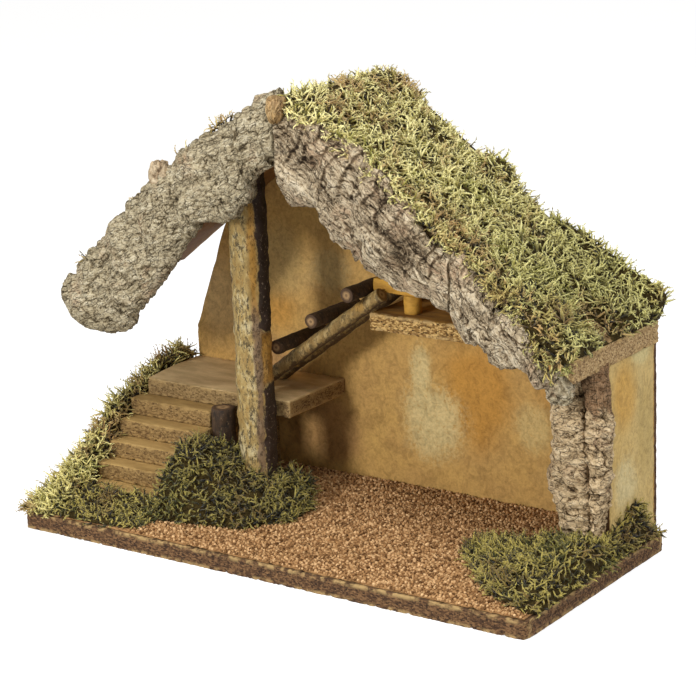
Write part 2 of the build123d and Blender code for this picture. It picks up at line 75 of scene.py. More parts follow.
def tone(red: int, green: int, blue: int) -> Colour:
    """Screen colour from 0 to 255 as the linear colour that a shader takes.

    Args:
        red: Red of the screen colour.
        green: Green of the screen colour.
        blue: Blue of the screen colour.

    Returns:
        The three linear channels, each (c + 0.055) / 1.055 to the power 2.4, or c / 12.92 when dark.
    """
    shares = [channel / 255 for channel in (red, green, blue)]
    linear = [c / 12.92 if c <= 0.04045 else ((c + 0.055) / 1.055) ** 2.4 for c in shares]
    return linear[0], linear[1], linear[2]


def unit(vectors: Array) -> Array:
    """Vectors divided by their length along the last axis."""
    return vectors / np.maximum(np.linalg.norm(vectors, axis=-1, keepdims=True), 1e-9)


def ease(values: Array, low: float, high: float) -> Array:
    """Smooth step: 0 below low, 1 above high, and 3t^2 - 2t^3 between them."""
    share = np.clip((values - low) / (high - low), 0, 1)
    return share * share * (3 - 2 * share)


def line_through(places: Sequence[tuple[float, float]], where: Array) -> Array:
    """Height at each place of a broken line through the given (place, height) corners."""
    corners = np.array(sorted(places))
    return np.interp(where, corners[:, 0], corners[:, 1])


def plan(x: Array, y: Array, layer: float) -> Array:
    """Places on a plan, on their own layer of the noise."""
    return np.stack([x, y, 0 * y + layer], axis=-1)


def numbered(stem: str, count: int) -> list[str]:
    """Names of a row of nodes, counted from 1."""
    return [f"{stem}_{number}" for number in range(1, count + 1)]


@dataclass(frozen=True)
class Box:
    """Lowest and highest place of a CAD node on each axis, in millimetres."""

    x0: float
    x1: float
    y0: float
    y1: float
    z0: float
    z1: float

    @classmethod
    def of(cls, node: str) -> "Box":
        """Box of a CAD node at rest."""
        low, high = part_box(node)
        return cls(*(value / MM for axis in range(3) for value in (low[axis], high[axis])))


class Noise:
    """Seeded smooth noise over points in space, worked out on whole arrays."""

    def __init__(self, seed: int) -> None:
        """Draws the order, slopes and spots of the lattice.

        Args:
            seed: Seed of the random draws.
        """
        draws = np.random.default_rng(seed)
        self.order = np.tile(draws.permutation(256), 2)
        self.slopes = unit(draws.normal(size=(256, 3)))
        self.spots = draws.random((256, 3))

    def slot(self, corner: Array) -> Array:
        """Place in the drawn tables of each lattice corner."""
        first = self.order[corner[..., 0] & 255]
        second = self.order[(first + corner[..., 1]) & 255]
        return self.order[(second + corner[..., 2]) & 255]

    def smooth(self, points: Array) -> Array:
        """Gradient noise: at each lattice corner a drawn slope, blended by 6t^5 - 15t^4 + 10t^3.

        Args:
            points: Points in lattice units, three on the last axis.

        Returns:
            Values from about -1 to 1.
        """
        corner = np.floor(points).astype(np.int64)
        part = points - corner
        blend = part ** 3 * (part * (part * 6 - 15) + 10)
        total = np.zeros(points.shape[:-1])
        for step in np.ndindex(2, 2, 2):
            offset = np.array(step)
            weight = np.prod(np.where(offset == 1, blend, 1 - blend), axis=-1)
            total += weight * np.sum(self.slopes[self.slot(corner + offset)] * (part - offset), axis=-1)
        return 1.7 * total

    def layered(self, points: Array, octaves: int, gain: float = 0.5) -> Array:
        """Sum of smooth noise, each octave about twice as fine and gain times as strong."""
        total = np.zeros(points.shape[:-1])
        for octave in range(octaves):
            total += gain ** octave * self.smooth(points * 2.03 ** octave + 7.3 * octave)
        return total

    def cells(self, points: Array) -> tuple[Array, Array]:
        """Cell noise: each lattice cube holds one drawn spot, and a point belongs to the nearest.

        Args:
            points: Points in lattice units.

        Returns:
            How much farther the second nearest spot is than the nearest, which is 0 on a border between
            cells, and a value from 0 to 1 that is the same all over one cell.
        """
        corner = np.floor(points).astype(np.int64)
        near = np.full(points.shape[:-1], 9.0)
        second = near.copy()
        owner = np.zeros(points.shape[:-1], dtype=np.int64)
        for step in np.ndindex(3, 3, 3):
            other = corner + np.array(step) - 1
            slot = self.slot(other)
            gap = np.linalg.norm(other + self.spots[slot] - points, axis=-1)
            closer = gap < near
            second = np.where(closer, near, np.minimum(second, gap))
            owner = np.where(closer, slot, owner)
            near = np.where(closer, gap, near)
        return second - near, owner / 255


NOISE = Noise(11)


@dataclass
class Shape:
    """Closed surface: points in millimetres, quads and triangles on them, and named values at the points."""

    points: Array
    quads: Array
    triangles: Array
    values: dict[str, Array] = field(default_factory=dict)

    def halves(self) -> Array:
        """All faces as triangles, each quad as two of them."""
        return np.concatenate([self.triangles, self.quads[:, [0, 1, 2]], self.quads[:, [0, 2, 3]]])

    def outward(self) -> "Shape":
        """The same shape with its faces pointing out, which is when its signed volume is positive."""
        corners = self.points[self.halves()]
        volume = np.sum(corners[:, 0] * np.cross(corners[:, 1], corners[:, 2]))
        if volume < 0:
            return Shape(self.points, self.quads[:, ::-1], self.triangles[:, ::-1], self.values)
        return self

    def normals(self) -> Array:
        """Normal at each point: the sum of the crossed edges of the faces around it, made one long."""
        faces = self.halves()
        corners = self.points[faces]
        crossed = np.repeat(np.cross(corners[:, 1] - corners[:, 0], corners[:, 2] - corners[:, 0]), 3, axis=0)
        sums = [np.bincount(faces.ravel(), part, len(self.points)) for part in crossed.T]
        return unit(np.stack(sums, axis=-1))

    def moved(self, amount: Array) -> "Shape":
        """The same shape with each point moved along its normal by an amount in millimetres."""
        return Shape(self.points + self.normals() * amount[:, None], self.quads, self.triangles, self.values)

    @staticmethod
    def joined(shapes: Sequence["Shape"]) -> "Shape":
        """Several shapes as one, with the values that all of them hold."""
        starts = np.cumsum([0] + [len(shape.points) for shape in shapes])
        names = set.intersection(*(set(shape.values) for shape in shapes))
        return Shape(
            np.concatenate([shape.points for shape in shapes]),
            np.concatenate([shape.quads + start for shape, start in zip(shapes, starts)]),
            np.concatenate([shape.triangles + start for shape, start in zip(shapes, starts)]),
            {name: np.concatenate([shape.values[name] for shape in shapes]) for name in sorted(names)},
        )


def grid_quads(rows: int, columns: int) -> Array:
    """Quads of a grid of points, row by row, with the last column joined to the first.

    Args:
        rows: Points along the first parameter.
        columns: Points along the second parameter.

    Returns:
        Four point numbers for each quad.
    """
    i = np.arange(rows - 1)[:, None]
    j = np.arange(columns)[None, :]
    k = (j + 1) % columns
    corners = (i * columns + j, (i + 1) * columns + j, (i + 1) * columns + k, i * columns + k)
    return np.stack(np.broadcast_arrays(*corners), axis=-1).reshape(-1, 4)


def tube(rings: Array, values: dict[str, Array]) -> Shape:
    """Closed tube through rings of points, each end shut by a fan about its middle.

    Args:
        rings: Points by ring and by place on the ring.
        values: Named values, one for each point of the rings.

    Returns:
        The closed shape.
    """
    count, sides, _ = rings.shape
    middles = rings[[0, -1]].mean(axis=1)
    here = np.arange(sides)
    after = (here + 1) % sides
    last = (count - 1) * sides
    first_fan = np.stack([np.full(sides, count * sides), here, after], axis=-1)
    last_fan = np.stack([np.full(sides, count * sides + 1), last + after, last + here], axis=-1)
    tables = {name: value.reshape(count, sides, -1) for name, value in values.items()}
    closed = {name: np.concatenate([table.reshape(count * sides, -1), table[[0, -1]].mean(axis=1)])
              for name, table in tables.items()}
    return Shape(
        np.concatenate([rings.reshape(-1, 3), middles]),
        grid_quads(count, sides),
        np.concatenate([first_fan, last_fan]),
        {name: value if value.shape[1] == 3 else value[:, 0] for name, value in closed.items()},
    ).outward()


def added(name: str, data: bpy.types.ID) -> bpy.types.Object:
    """New object with the given data, at the origin of the scene."""
    item = bpy.data.objects.new(name, data)
    bpy.context.scene.collection.objects.link(item)
    return item


def make_piece(name: str, shape: Shape, finish: "Finish", node: str) -> None:
    """Puts a shape into a mesh object at the origin, dresses it and sets it in the frame.

    Args:
        name: Name of the piece.
        shape: Its surface, in millimetres.
        finish: Finish that it gets.
        node: CAD node that the piece stands for.
    """
    mesh = bpy.data.meshes.new(name)
    lengths = np.concatenate([np.full(len(shape.quads), 4), np.full(len(shape.triangles), 3)])
    corners = np.concatenate([shape.quads.ravel(), shape.triangles.ravel()])
    mesh.vertices.add(len(shape.points))
    mesh.vertices.foreach_set("co", (shape.points * MM).astype(np.float32).ravel())
    mesh.loops.add(len(corners))
    mesh.loops.foreach_set("vertex_index", corners.astype(np.int32))
    mesh.polygons.add(len(lengths))
    mesh.polygons.foreach_set("loop_start", (np.cumsum(lengths) - lengths).astype(np.int32))
    mesh.polygons.foreach_set("use_smooth", np.ones(len(lengths), dtype=bool))
    for key, value in shape.values.items():
        kind, part = ("FLOAT", "value") if value.ndim == 1 else ("FLOAT_VECTOR", "vector")
        mesh.attributes.new(key, kind, "POINT").data.foreach_set(part, value.astype(np.float32).ravel())
    mesh.update(calc_edges=True)
    mesh.materials.append(finish.material())
    piece = added(name, mesh)
    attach(piece, "root")
    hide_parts(node)
    LOG.info("%s: %d points, %d faces", name, len(shape.points), len(lengths))


def dress(node: str, shape: Shape, finish: "Finish") -> None:
    """Makes the one finished piece of a node."""
    make_piece(f"{node}_finished", shape, finish, node)


class Nodes:
    """Short hand for the node tree of one material. Patterns lie on object coordinates in millimetres."""

    def __init__(self, name: str) -> None:
        """Starts an empty tree with its output and its coordinates.

        Args:
            name: Name of the material.
        """
        self.material = bpy.data.materials.new(name)
        self.material.use_nodes = True
        self.tree = self.material.node_tree
        self.tree.nodes.clear()
        self.output = self.add("ShaderNodeOutputMaterial")
        place = self.add("ShaderNodeTexCoord").outputs["Object"]
        self.place = self.stretched((1 / MM,) * 3, place)

    def add(self, kind: str, inputs: dict | None = None, **settings: object) -> bpy.types.Node:
        """Adds a node, sets its properties, and links or sets its inputs by name or number."""
        node = self.tree.nodes.new(kind)
        for name, value in settings.items():
            setattr(node, name, value)
        for key, value in (inputs or {}).items():
            self.put(node.inputs[key], value)
        return node

    def put(self, socket: Socket, value: object) -> None:
        """Links an output to an input, or sets the input to a plain number or colour."""
        if isinstance(value, Socket):
            self.tree.links.new(value, socket)
        elif isinstance(value, tuple) and socket.type == "RGBA":
            socket.default_value = (*value, 1.0)
        else:
            socket.default_value = value

    def stretched(self, factors: Triple, place: object = None) -> Socket:
        """Coordinates multiplied by a factor on each axis."""
        node = self.add("ShaderNodeVectorMath", {0: place or self.place, 1: factors}, operation="MULTIPLY")
        return node.outputs[0]

    def clouds(self, size: float, detail: float = 3.0, roughness: float = 0.55, place: object = None,
               twist: float = 0.0) -> Socket:
        """Noise whose coarsest lumps are about the given size in millimetres."""
        return self.add("ShaderNodeTexNoise", {
            "Vector": place or self.place, "Scale": 1 / size, "Detail": detail, "Roughness": roughness,
            "Distortion": twist}).outputs["Fac"]

    def chips(self, size: float, place: object) -> Socket:
        """Cells of about the given size, each of a grey drawn for it."""
        cells = self.add("ShaderNodeTexVoronoi", {"Vector": place, "Scale": 1 / size})
        return self.add("ShaderNodeSeparateColor", {0: cells.outputs["Color"]}).outputs[0]

    def value(self, name: str) -> Socket:
        """Named value at the points of the mesh."""
        return self.add("ShaderNodeAttribute", attribute_name=name).outputs["Fac"]

    def vector(self, name: str) -> Socket:
        """Named place at the points of the mesh."""
        return self.add("ShaderNodeAttribute", attribute_name=name).outputs["Vector"]

    def net(self, size: float, width: float, place: object) -> Socket:
        """Net of thin cracks: 1 on the borders between cells of a size, 0 past a width from them."""
        scaled = {"Vector": place, "Scale": 1 / size}
        cells = self.add("ShaderNodeTexVoronoi", scaled, feature="DISTANCE_TO_EDGE")
        return self.less(1.0, self.step(cells.outputs["Distance"], 0.0, width))

    def axis(self, index: int) -> Socket:
        """Place on one axis in millimetres."""
        return self.add("ShaderNodeSeparateXYZ", {0: self.place}).outputs[index]

    def sums(self, operation: str, first: object, second: object) -> Socket:
        """One step of arithmetic on two values."""
        return self.add("ShaderNodeMath", {0: first, 1: second}, operation=operation).outputs[0]

    def times(self, first: object, second: object) -> Socket:
        """Product of two values."""
        return self.sums("MULTIPLY", first, second)

    def plus(self, first: object, second: object) -> Socket:
        """Sum of two values."""
        return self.sums("ADD", first, second)

    def less(self, first: object, second: object) -> Socket:
        """First value less the second."""
        return self.sums("SUBTRACT", first, second)

    def mixed(self, first: object, first_share: object, second: object, second_share: object) -> Socket:
        """Sum of two values, each by its share."""
        return self.plus(self.times(first, first_share), self.times(second, second_share))

    def step(self, value: object, low: float, high: float) -> Socket:
        """Smooth step from 0 at low to 1 at high."""
        node = self.add("ShaderNodeMapRange", {"Value": value, "From Min": low, "From Max": high},
                        interpolation_type="SMOOTHSTEP")
        return node.outputs["Result"]

    def ramp(self, value: object, stops: Sequence[tuple[float, Colour]]) -> Socket:
        """Colour read off a row of (place, colour) stops."""
        node = self.add("ShaderNodeValToRGB", {"Fac": value})
        stripe = node.color_ramp.elements
        for _ in stops[2:]:
            stripe.new(0.5)
        for element, (place, colour) in zip(stripe, stops):
            element.position = place
            element.color = (*colour, 1.0)
        return node.outputs["Color"]

    def blend(self, share: object, first: object, second: object, mode: str = "MIX") -> Socket:
        """Second colour laid over the first by a share."""
        layers = {"Factor": share, 6: first, 7: second}
        return self.add("ShaderNodeMix", layers, data_type="RGBA", blend_type=mode).outputs[2]

    def spot(self, centre: Triple, reach: Triple, ragged: Socket, depth: float) -> Socket:
        """Soft patch, 1 at its centre and 0 past its reach on each axis, with its rim moved by a noise."""
        shift = self.add("ShaderNodeVectorMath", {0: self.place, 1: centre}, operation="SUBTRACT")
        scaled = self.stretched(tuple(1 / r for r in reach), shift.outputs[0])
        length = self.add("ShaderNodeVectorMath", {0: scaled}, operation="LENGTH")
        moved = self.plus(length.outputs["Value"], self.times(ragged, depth))
        return self.less(1.0, self.step(moved, 0.35 + depth / 2, 1.0 + depth / 2))

    def bump(self, height: object, depth: float) -> Socket:
        """Normal of a fine relief of the given depth in millimetres."""
        relief = {"Strength": 1.0, "Distance": depth * MM, "Height": height}
        return self.add("ShaderNodeBump", relief).outputs["Normal"]

    def done(self, colour: object, roughness: object, normal: object = None,
             **plain: float) -> bpy.types.Material:
        """Closes the tree with a shader.

        Args:
            colour: Colour, linked or plain.
            roughness: Roughness, linked or plain.
            normal: Normal from a bump, if any.
            **plain: Other inputs of the shader, by name with _ for a space.

        Returns:
            The finished material.
        """
        inputs = {name.replace("_", " "): value for name, value in plain.items()}
        if normal is not None:
            inputs["Normal"] = normal
        inputs.update({"Base Color": colour, "Roughness": roughness})
        shader = self.add("ShaderNodeBsdfPrincipled", inputs)
        self.put(self.output.inputs["Surface"], shader.outputs[0])
        return self.material


class Finish:
    """One finish of the stable. Its material is made once, when the first piece takes it."""

    made: dict[object, bpy.types.Material] = {}

    def material(self) -> bpy.types.Material:
        """Material of this finish."""
        if self not in Finish.made:
            Finish.made[self] = self.build()
        return Finish.made[self]

    def build(self) -> bpy.types.Material:
        """Makes the material's node tree."""
        raise NotImplementedError


@dataclass(frozen=True)
class CorkBark(Finish):
    """Weathered cork bark: dark in the cracks and pale on the crests, partly its own colour and partly
    painted shade and painted highlight from the height of the relief, grey-beige on the plates, with warm and
    grey plates mixed.
    """

    name: str = "cork_bark"
    crack: Colour = tone(50, 42, 30)
    slope: Colour = tone(122, 108, 82)
    plate: Colour = tone(181, 167, 136)
    crest: Colour = tone(216, 205, 177)
    warm: Colour = tone(190, 160, 128)
    brown: Colour = tone(132, 98, 68)
    fibre: Colour = tone(176, 140, 104)
    net: float = 0.9

    def build(self) -> bpy.types.Material:
        """Colour from the height of the relief, which puts painted shade in the low places and painted
        highlight on the crests, a net of thin cracks over it, darkened partly as painted shade, specks and
        tinted plates.
        """
        nodes = Nodes(self.name)
        grain = nodes.vector("grain")
        fine = nodes.clouds(0.9, detail=4, roughness=0.7)
        threads = nodes.clouds(0.42, detail=5, roughness=0.68, place=grain)
        relief = nodes.plus(nodes.value("relief"), nodes.less(nodes.mixed(fine, 0.3, threads, 1.2), 0.75))
        # Dark in the hollows and pale on the crests: partly the bark's own colour, partly painted shade and
        # painted highlight.
        colour = nodes.ramp(relief, [
            (0.05, self.crack), (0.33, self.slope), (0.62, self.plate), (0.95, self.crest)])
        warmth = nodes.times(nodes.step(nodes.clouds(24, detail=2), 0.50, 0.68), 0.6)
        colour = nodes.blend(nodes.times(warmth, nodes.value("plate")), colour, self.warm)
        fibres = nodes.clouds(1.1, detail=4, roughness=0.7, place=nodes.stretched((1.0, 1.0, 0.25)))
        brown = nodes.ramp(fibres, [(0.32, self.crack), (0.50, self.brown), (0.70, self.fibre)])
        colour = nodes.blend(nodes.times(nodes.value("warm"), 0.85), colour, brown)
        net = self.cracks(nodes, grain)
        # The thin cracks take the crack colour, partly as painted shade in them.
        colour = nodes.blend(nodes.times(net, self.net), colour, self.crack)
        specks = nodes.step(nodes.clouds(0.8, detail=1), 0.63, 0.74)
        colour = nodes.blend(nodes.times(specks, 0.6), colour, self.crack)
        height = nodes.less(nodes.mixed(threads, 1.4, fine, 0.4), nodes.times(net, 0.9))
        return nodes.done(colour, 0.95, nodes.bump(height, 0.6), Specular_IOR_Level=0.15)

    @staticmethod
    def cracks(nodes: Nodes, grain: Socket) -> Socket:
        """Two nets of thin cracks on bent places of the grain, broken off by a noise."""
        broken = nodes.step(nodes.clouds(4, detail=4, roughness=0.7), 0.40, 0.54)
        wobble = nodes.add("ShaderNodeTexNoise", {"Vector": nodes.place, "Scale": 0.22})
        shift = nodes.stretched((0.3, 0.3, 0.3), wobble.outputs["Color"])
        bent = nodes.add("ShaderNodeVectorMath", {0: grain, 1: shift}, operation="ADD")
        meshes = ((0.85, 0.075), (0.45, 0.09))
        coarse, small = (nodes.net(size, width, bent.outputs[0]) for size, width in meshes)
        return nodes.times(nodes.sums("MAXIMUM", coarse, nodes.times(small, 0.65)), broken)


@dataclass(frozen=True)
class Chipboard(Finish):
    """Chipboard whose faces are brushed with thin paint and whose cut edges show the chips."""

    name: str
    face: Colour
    face_dark: Colour
    chip_light: Colour
    chip_mid: Colour
    chip_dark: Colour
    worn: Colour = tone(196, 164, 110)

    def build(self) -> bpy.types.Material:
        """Chips on the edges, streaky paint on the faces, and a pale rim where the paint is rubbed off."""
        nodes = Nodes(self.name)
        flat = nodes.stretched((0.75, 1.0, 1.4))
        grain = nodes.clouds(1.1, detail=4, roughness=0.7, place=flat)
        mixed = nodes.mixed(nodes.chips(1.3, flat), 0.55, grain, 0.5)
        chips = nodes.ramp(mixed, [(0.22, self.chip_dark), (0.48, self.chip_mid), (0.78, self.chip_light)])
        pits = nodes.step(nodes.clouds(2.0, detail=4, roughness=0.75), 0.60, 0.66)
        chips = nodes.blend(pits, chips, self.chip_dark)
        brushed = nodes.clouds(9, detail=5, roughness=0.62, place=nodes.stretched((0.35, 1.0, 1.0)))
        paint = nodes.ramp(brushed, [(0.32, self.face_dark), (0.66, self.face)])
        dust = nodes.step(nodes.clouds(1.2, detail=2), 0.62, 0.76)
        paint = nodes.blend(nodes.times(dust, 0.35), paint, self.worn)
        edge = nodes.value("edge")
        colour = nodes.blend(nodes.step(edge, 0.35, 0.65), paint, chips)
        rubbed = nodes.times(nodes.value("rim"), nodes.step(nodes.clouds(6, detail=4), 0.42, 0.60))
        colour = nodes.blend(nodes.times(rubbed, 0.75), colour, self.worn)
        height = nodes.mixed(mixed, edge, grain, 0.25)
        return nodes.done(colour, 0.82, nodes.bump(height, 0.45), Specular_IOR_Level=0.25)


@dataclass(frozen=True)
class Dab:
    """Soft patch of paint: its colour, centre and reach in millimetres, and how thick it lies."""

    colour: Colour
    centre: Triple
    reach: Triple
    cover: float
    broken: bool = False


@dataclass(frozen=True)
class SpongedPaint(Finish):
    """Matt paint sponged and brushed on in soft patches."""

    name: str
    ground: Colour
    ground_warm: Colour
    edge: Colour
    dabs: tuple[Dab, ...]
    bare: Colour = tone(58, 38, 24)

    def build(self) -> bpy.types.Material:
        """Mottled ground, soft or broken patches over it, fine brush grain, and bare board on the edges."""
        nodes = Nodes(self.name)
        cloud = nodes.clouds(46, detail=4, roughness=0.6)
        sponge = nodes.clouds(2.2, detail=5, roughness=0.72, twist=0.6)
        bristle = nodes.clouds(3.0, detail=4, roughness=0.7, place=nodes.stretched((1.0, 1.0, 0.16)))
        holes = nodes.mixed(sponge, 0.7, bristle, 0.3)
        colour = nodes.ramp(cloud, [(0.34, self.ground), (0.68, self.ground_warm)])
        for dab in self.dabs:
            share = nodes.spot(dab.centre, dab.reach, cloud, 0.9)
            if dab.broken:
                broken = nodes.step(nodes.plus(holes, nodes.times(share, 0.12)), 0.44, 0.62)
                share = nodes.times(share, broken)
            colour = nodes.blend(nodes.times(share, dab.cover), colour, dab.colour)
        drawn_out = nodes.stretched((0.8, 1.0, 0.7))
        strokes = nodes.clouds(6.5, detail=6, roughness=0.72, place=drawn_out, twist=1.2)
        mottle = nodes.ramp(strokes, [(0.30, (0.46, 0.43, 0.38)), (0.54, (0.93, 0.92, 0.90)), (0.70, WHITE)])
        colour = nodes.blend(0.72, colour, mottle, "MULTIPLY")
        pores = nodes.clouds(2.0, detail=4, roughness=0.8)
        grain = nodes.ramp(pores, [(0.34, (0.6, 0.57, 0.52)), (0.58, WHITE)])
        colour = nodes.blend(0.55, colour, grain, "MULTIPLY")
        bare = nodes.blend(nodes.clouds(1.5, detail=4), self.edge, self.bare)
        colour = nodes.blend(nodes.step(nodes.value("edge"), 0.35, 0.65), colour, bare)
        height = nodes.plus(sponge, nodes.times(bristle, 0.6))
        return nodes.done(colour, 0.74, nodes.bump(height, 0.22), Specular_IOR_Level=0.3)


@dataclass(frozen=True)
class LogPaint(Finish):
    """Peeled branch with leftover bark. Values on the mesh tell wood, brushed colour and bark apart; on the
    ladder rails the bark value marks painted shade on their undersides.
    """

    name: str
    wood: Colour
    wood_dark: Colour
    brushed: Colour
    bark: Colour
    bark_light: Colour
    cut: Colour
    brushed_low: Colour = tone(118, 88, 66)
    fleck: Colour = tone(38, 30, 22)
    flecks: float = 0.6
    pale: Colour = tone(222, 210, 172)

    def build(self) -> bpy.types.Material:
        """Specked wood, a brushed streak and flaky bark along the branch, and growth rings on the cuts."""
        nodes = Nodes(self.name)
        cloud = nodes.clouds(9, detail=4, roughness=0.65, place=nodes.stretched((1, 1, 0.6)))
        bristle = nodes.clouds(2.6, detail=5, roughness=0.72, place=nodes.stretched((1, 1, 0.3)))
        dots = nodes.clouds(2.6, detail=6, roughness=0.82, place=nodes.stretched((1, 1, 0.5)))
        patchy = nodes.step(nodes.mixed(cloud, 0.5, bristle, 0.5), 0.40, 0.52)
        specks = nodes.times(nodes.step(dots, 0.48, 0.55), patchy)
        wood = nodes.ramp(nodes.mixed(cloud, 0.6, bristle, 0.4),
                          [(0.36, self.wood_dark), (0.50, self.wood), (0.64, self.pale)])
        wood = nodes.blend(nodes.times(specks, self.flecks), wood, self.fleck)
        ragged = nodes.less(nodes.plus(cloud, bristle), 1.0)
        streak = nodes.step(nodes.plus(nodes.value("streak"), nodes.times(ragged, 1.3)), 0.30, 0.75)
        brushed = nodes.blend(nodes.value("low"), self.brushed, self.brushed_low)
        brushed = nodes.blend(nodes.times(specks, 0.6), brushed, self.fleck)
        colour = nodes.blend(nodes.times(streak, 0.85), wood, brushed)
        pale = nodes.step(nodes.clouds(1.9, detail=3, roughness=0.6), 0.60, 0.70)
        rind = nodes.ramp(nodes.mixed(cloud, 0.4, bristle, 0.6), [(0.38, self.fleck), (0.62, self.bark)])
        rind = nodes.blend(nodes.times(pale, 0.6), rind, self.bark_light)
        rough_bark = nodes.plus(nodes.value("bark"), nodes.times(ragged, 1.1))
        colour = nodes.blend(nodes.step(rough_bark, 0.36, 0.64), colour, rind)
        rings = nodes.ramp(nodes.plus(nodes.value("ring"), nodes.times(nodes.clouds(2), 0.25)),
                           [(0.10, self.fleck), (0.45, self.cut), (0.8, self.wood_dark)])
        colour = nodes.blend(nodes.step(nodes.value("edge"), 0.4, 0.6), colour, rings)
        height = nodes.plus(nodes.clouds(1.6, detail=4, roughness=0.7), nodes.times(cloud, 0.6))
        return nodes.done(colour, 0.72, nodes.bump(height, 0.4), Specular_IOR_Level=0.3)


@dataclass(frozen=True)
class Moss(Finish):
    """Dried moss strands: dark brown at the root, partly their own colour and partly painted shade deep in
    the tangle, olive along the stem and straw-green at the tip.
    """

    name: str
    root: Colour
    stem: Colour
    tip: Colour
    dry: Colour
    fresh: Colour
    eave: float = 0.0

    def build(self) -> bpy.types.Material:
        """Colour along each strand, darkest at the root as partly painted shade, dark or light by the strand,
        with patches of brown and green.
        """
        nodes = Nodes(self.name)
        tint = nodes.value("tint")
        ripe = nodes.plus(nodes.value("along"), nodes.times(nodes.less(tint, 0.46), 1.1))
        # The root end is darkened partly as painted shade between the strands.
        colour = nodes.ramp(ripe, [(0.02, self.root), (0.42, self.stem), (0.92, self.tip)])
        patch = nodes.plus(nodes.clouds(34, detail=3), nodes.times(tint, 0.16))
        colour = nodes.blend(nodes.times(nodes.step(patch, 0.64, 0.74), 0.75), colour, self.dry)
        colour = nodes.blend(nodes.times(nodes.step(patch, 0.52, 0.40), 0.55), colour, self.fresh)
        low = nodes.times(nodes.step(nodes.axis(0), 60, 190), self.eave)
        colour = nodes.blend(low, colour, nodes.blend(nodes.step(ripe, 0.1, 1.0), self.root, self.fresh))
        dry = nodes.blend(nodes.step(ripe, 0.0, 0.9), self.root, self.dry)
        colour = nodes.blend(nodes.value("dead"), colour, dry)
        return nodes.done(colour, 0.85, Specular_IOR_Level=0.2, Sheen_Weight=0.15)


@dataclass(frozen=True)
class MossMat(Finish):
    """Dense underside of the moss, seen between the strands, its dark colour partly painted shade in the
    gaps.
    """

    name: str = "moss_mat"
    dark: Colour = tone(26, 20, 10)
    light: Colour = tone(84, 70, 34)

    def build(self) -> bpy.types.Material:
        """Tangled dark green with brown hollows, dark as partly painted shade between the strands."""
        nodes = Nodes(self.name)
        tangle = nodes.clouds(2.2, detail=5, roughness=0.75, twist=1.5)
        colour = nodes.ramp(tangle, [(0.36, self.dark), (0.68, self.light)])
        return nodes.done(colour, 0.95, nodes.bump(tangle, 1.2), Specular_IOR_Level=0.1)


@dataclass(frozen=True)
class Granules(Finish):
    """Loose cork granules, each of its own tan, orange or brown."""

    name: str = "cork_granules"
    dark: Colour = tone(98, 66, 36)
    mid: Colour = tone(174, 132, 86)
    light: Colour = tone(224, 184, 134)

    def build(self) -> bpy.types.Material:
        """One colour for each granule, with fine pores."""
        nodes = Nodes(self.name)
        pores = nodes.clouds(0.6, detail=3, roughness=0.7)
        shade = nodes.plus(nodes.value("tint"), nodes.times(nodes.less(pores, 0.5), 0.5))
        colour = nodes.ramp(shade, [(0.08, self.dark), (0.45, self.mid), (0.92, self.light)])
        return nodes.done(colour, 0.9, nodes.bump(pores, 0.3), Specular_IOR_Level=0.2)


@dataclass(frozen=True)
class BrushedPaint(Finish):
    """Matt ochre paint on small timber, thin at the corners."""

    name: str = "yellow_paint"
    paint: Colour = tone(204, 154, 62)
    thick: Colour = tone(166, 120, 44)
    bare: Colour = tone(104, 74, 34)

    def build(self) -> bpy.types.Material:
        """Brush marks, with the wood showing where the paint is rubbed off."""
        nodes = Nodes(self.name)
        marks = nodes.clouds(4, detail=5, roughness=0.65, place=nodes.stretched((0.3, 1, 1)))
        colour = nodes.ramp(marks, [(0.34, self.thick), (0.62, self.paint)])
        thin = nodes.plus(nodes.clouds(3, detail=4, roughness=0.7), nodes.times(nodes.value("rim"), 0.06))
        colour = nodes.blend(nodes.step(thin, 0.62, 0.76), colour, self.bare)
        return nodes.done(colour, 0.7, nodes.bump(marks, 0.25), Specular_IOR_Level=0.3)


@dataclass(frozen=True)
class WireSteel(Finish):
    """Plain drawn wire of the nails and brads."""

    name: str = "wire_steel"
    steel: Colour = tone(150, 148, 144)
    rust: Colour = tone(120, 96, 76)

    def build(self) -> bpy.types.Material:
        """Grey steel with faint rust."""
        nodes = Nodes(self.name)
        stain = nodes.clouds(1.5, detail=4)
        colour = nodes.ramp(stain, [(0.4, self.steel), (0.75, self.rust)])
        return nodes.done(colour, nodes.step(stain, 0.1, 1.4), Metallic=0.9)


class Cut(Enum):
    """Which sides of a board are raw cuts, marked 1: the four of its section in order, and its two ends."""

    NONE = (0, 0, 0, 0, 0)
    EDGES = (1, 0, 1, 0, 1)
    ENDS = (0, 1, 0, 1, 1)
    RIM = (0, 1, 1, 1, 1)


def around(y0: object, y1: object, z0: object, z1: object) -> list[tuple[object, object]]:
    """Four (y, z) corners of a board, from the lower front round by the top."""
    return [(y0, z0), (y0, z1), (y1, z1), (y1, z0)]


def across_x(x: Array, corners: Sequence[tuple[object, object]]) -> Array:
    """Sections of a board along X: its (y, z) corners at each place."""
    return np.stack([np.stack([x, y + 0 * x, z + 0 * x], axis=-1) for y, z in corners], axis=1)


def across_y(y: Array, corners: Sequence[tuple[float, float]]) -> Array:
    """Sections of a board along Y: its (x, z) corners at each place."""
    return np.stack([np.stack([x + 0 * y, y, z + 0 * y], axis=-1) for x, z in corners], axis=1)


def box_section(box: Box, gap: float = 0.0) -> Section:
    """Section of a level board along X, held in by a gap."""
    corners = around(box.y0 + gap, box.y1 - gap, box.z0 + gap, box.z1 - gap)
    return lambda along: across_x(box.x0 + along, corners)


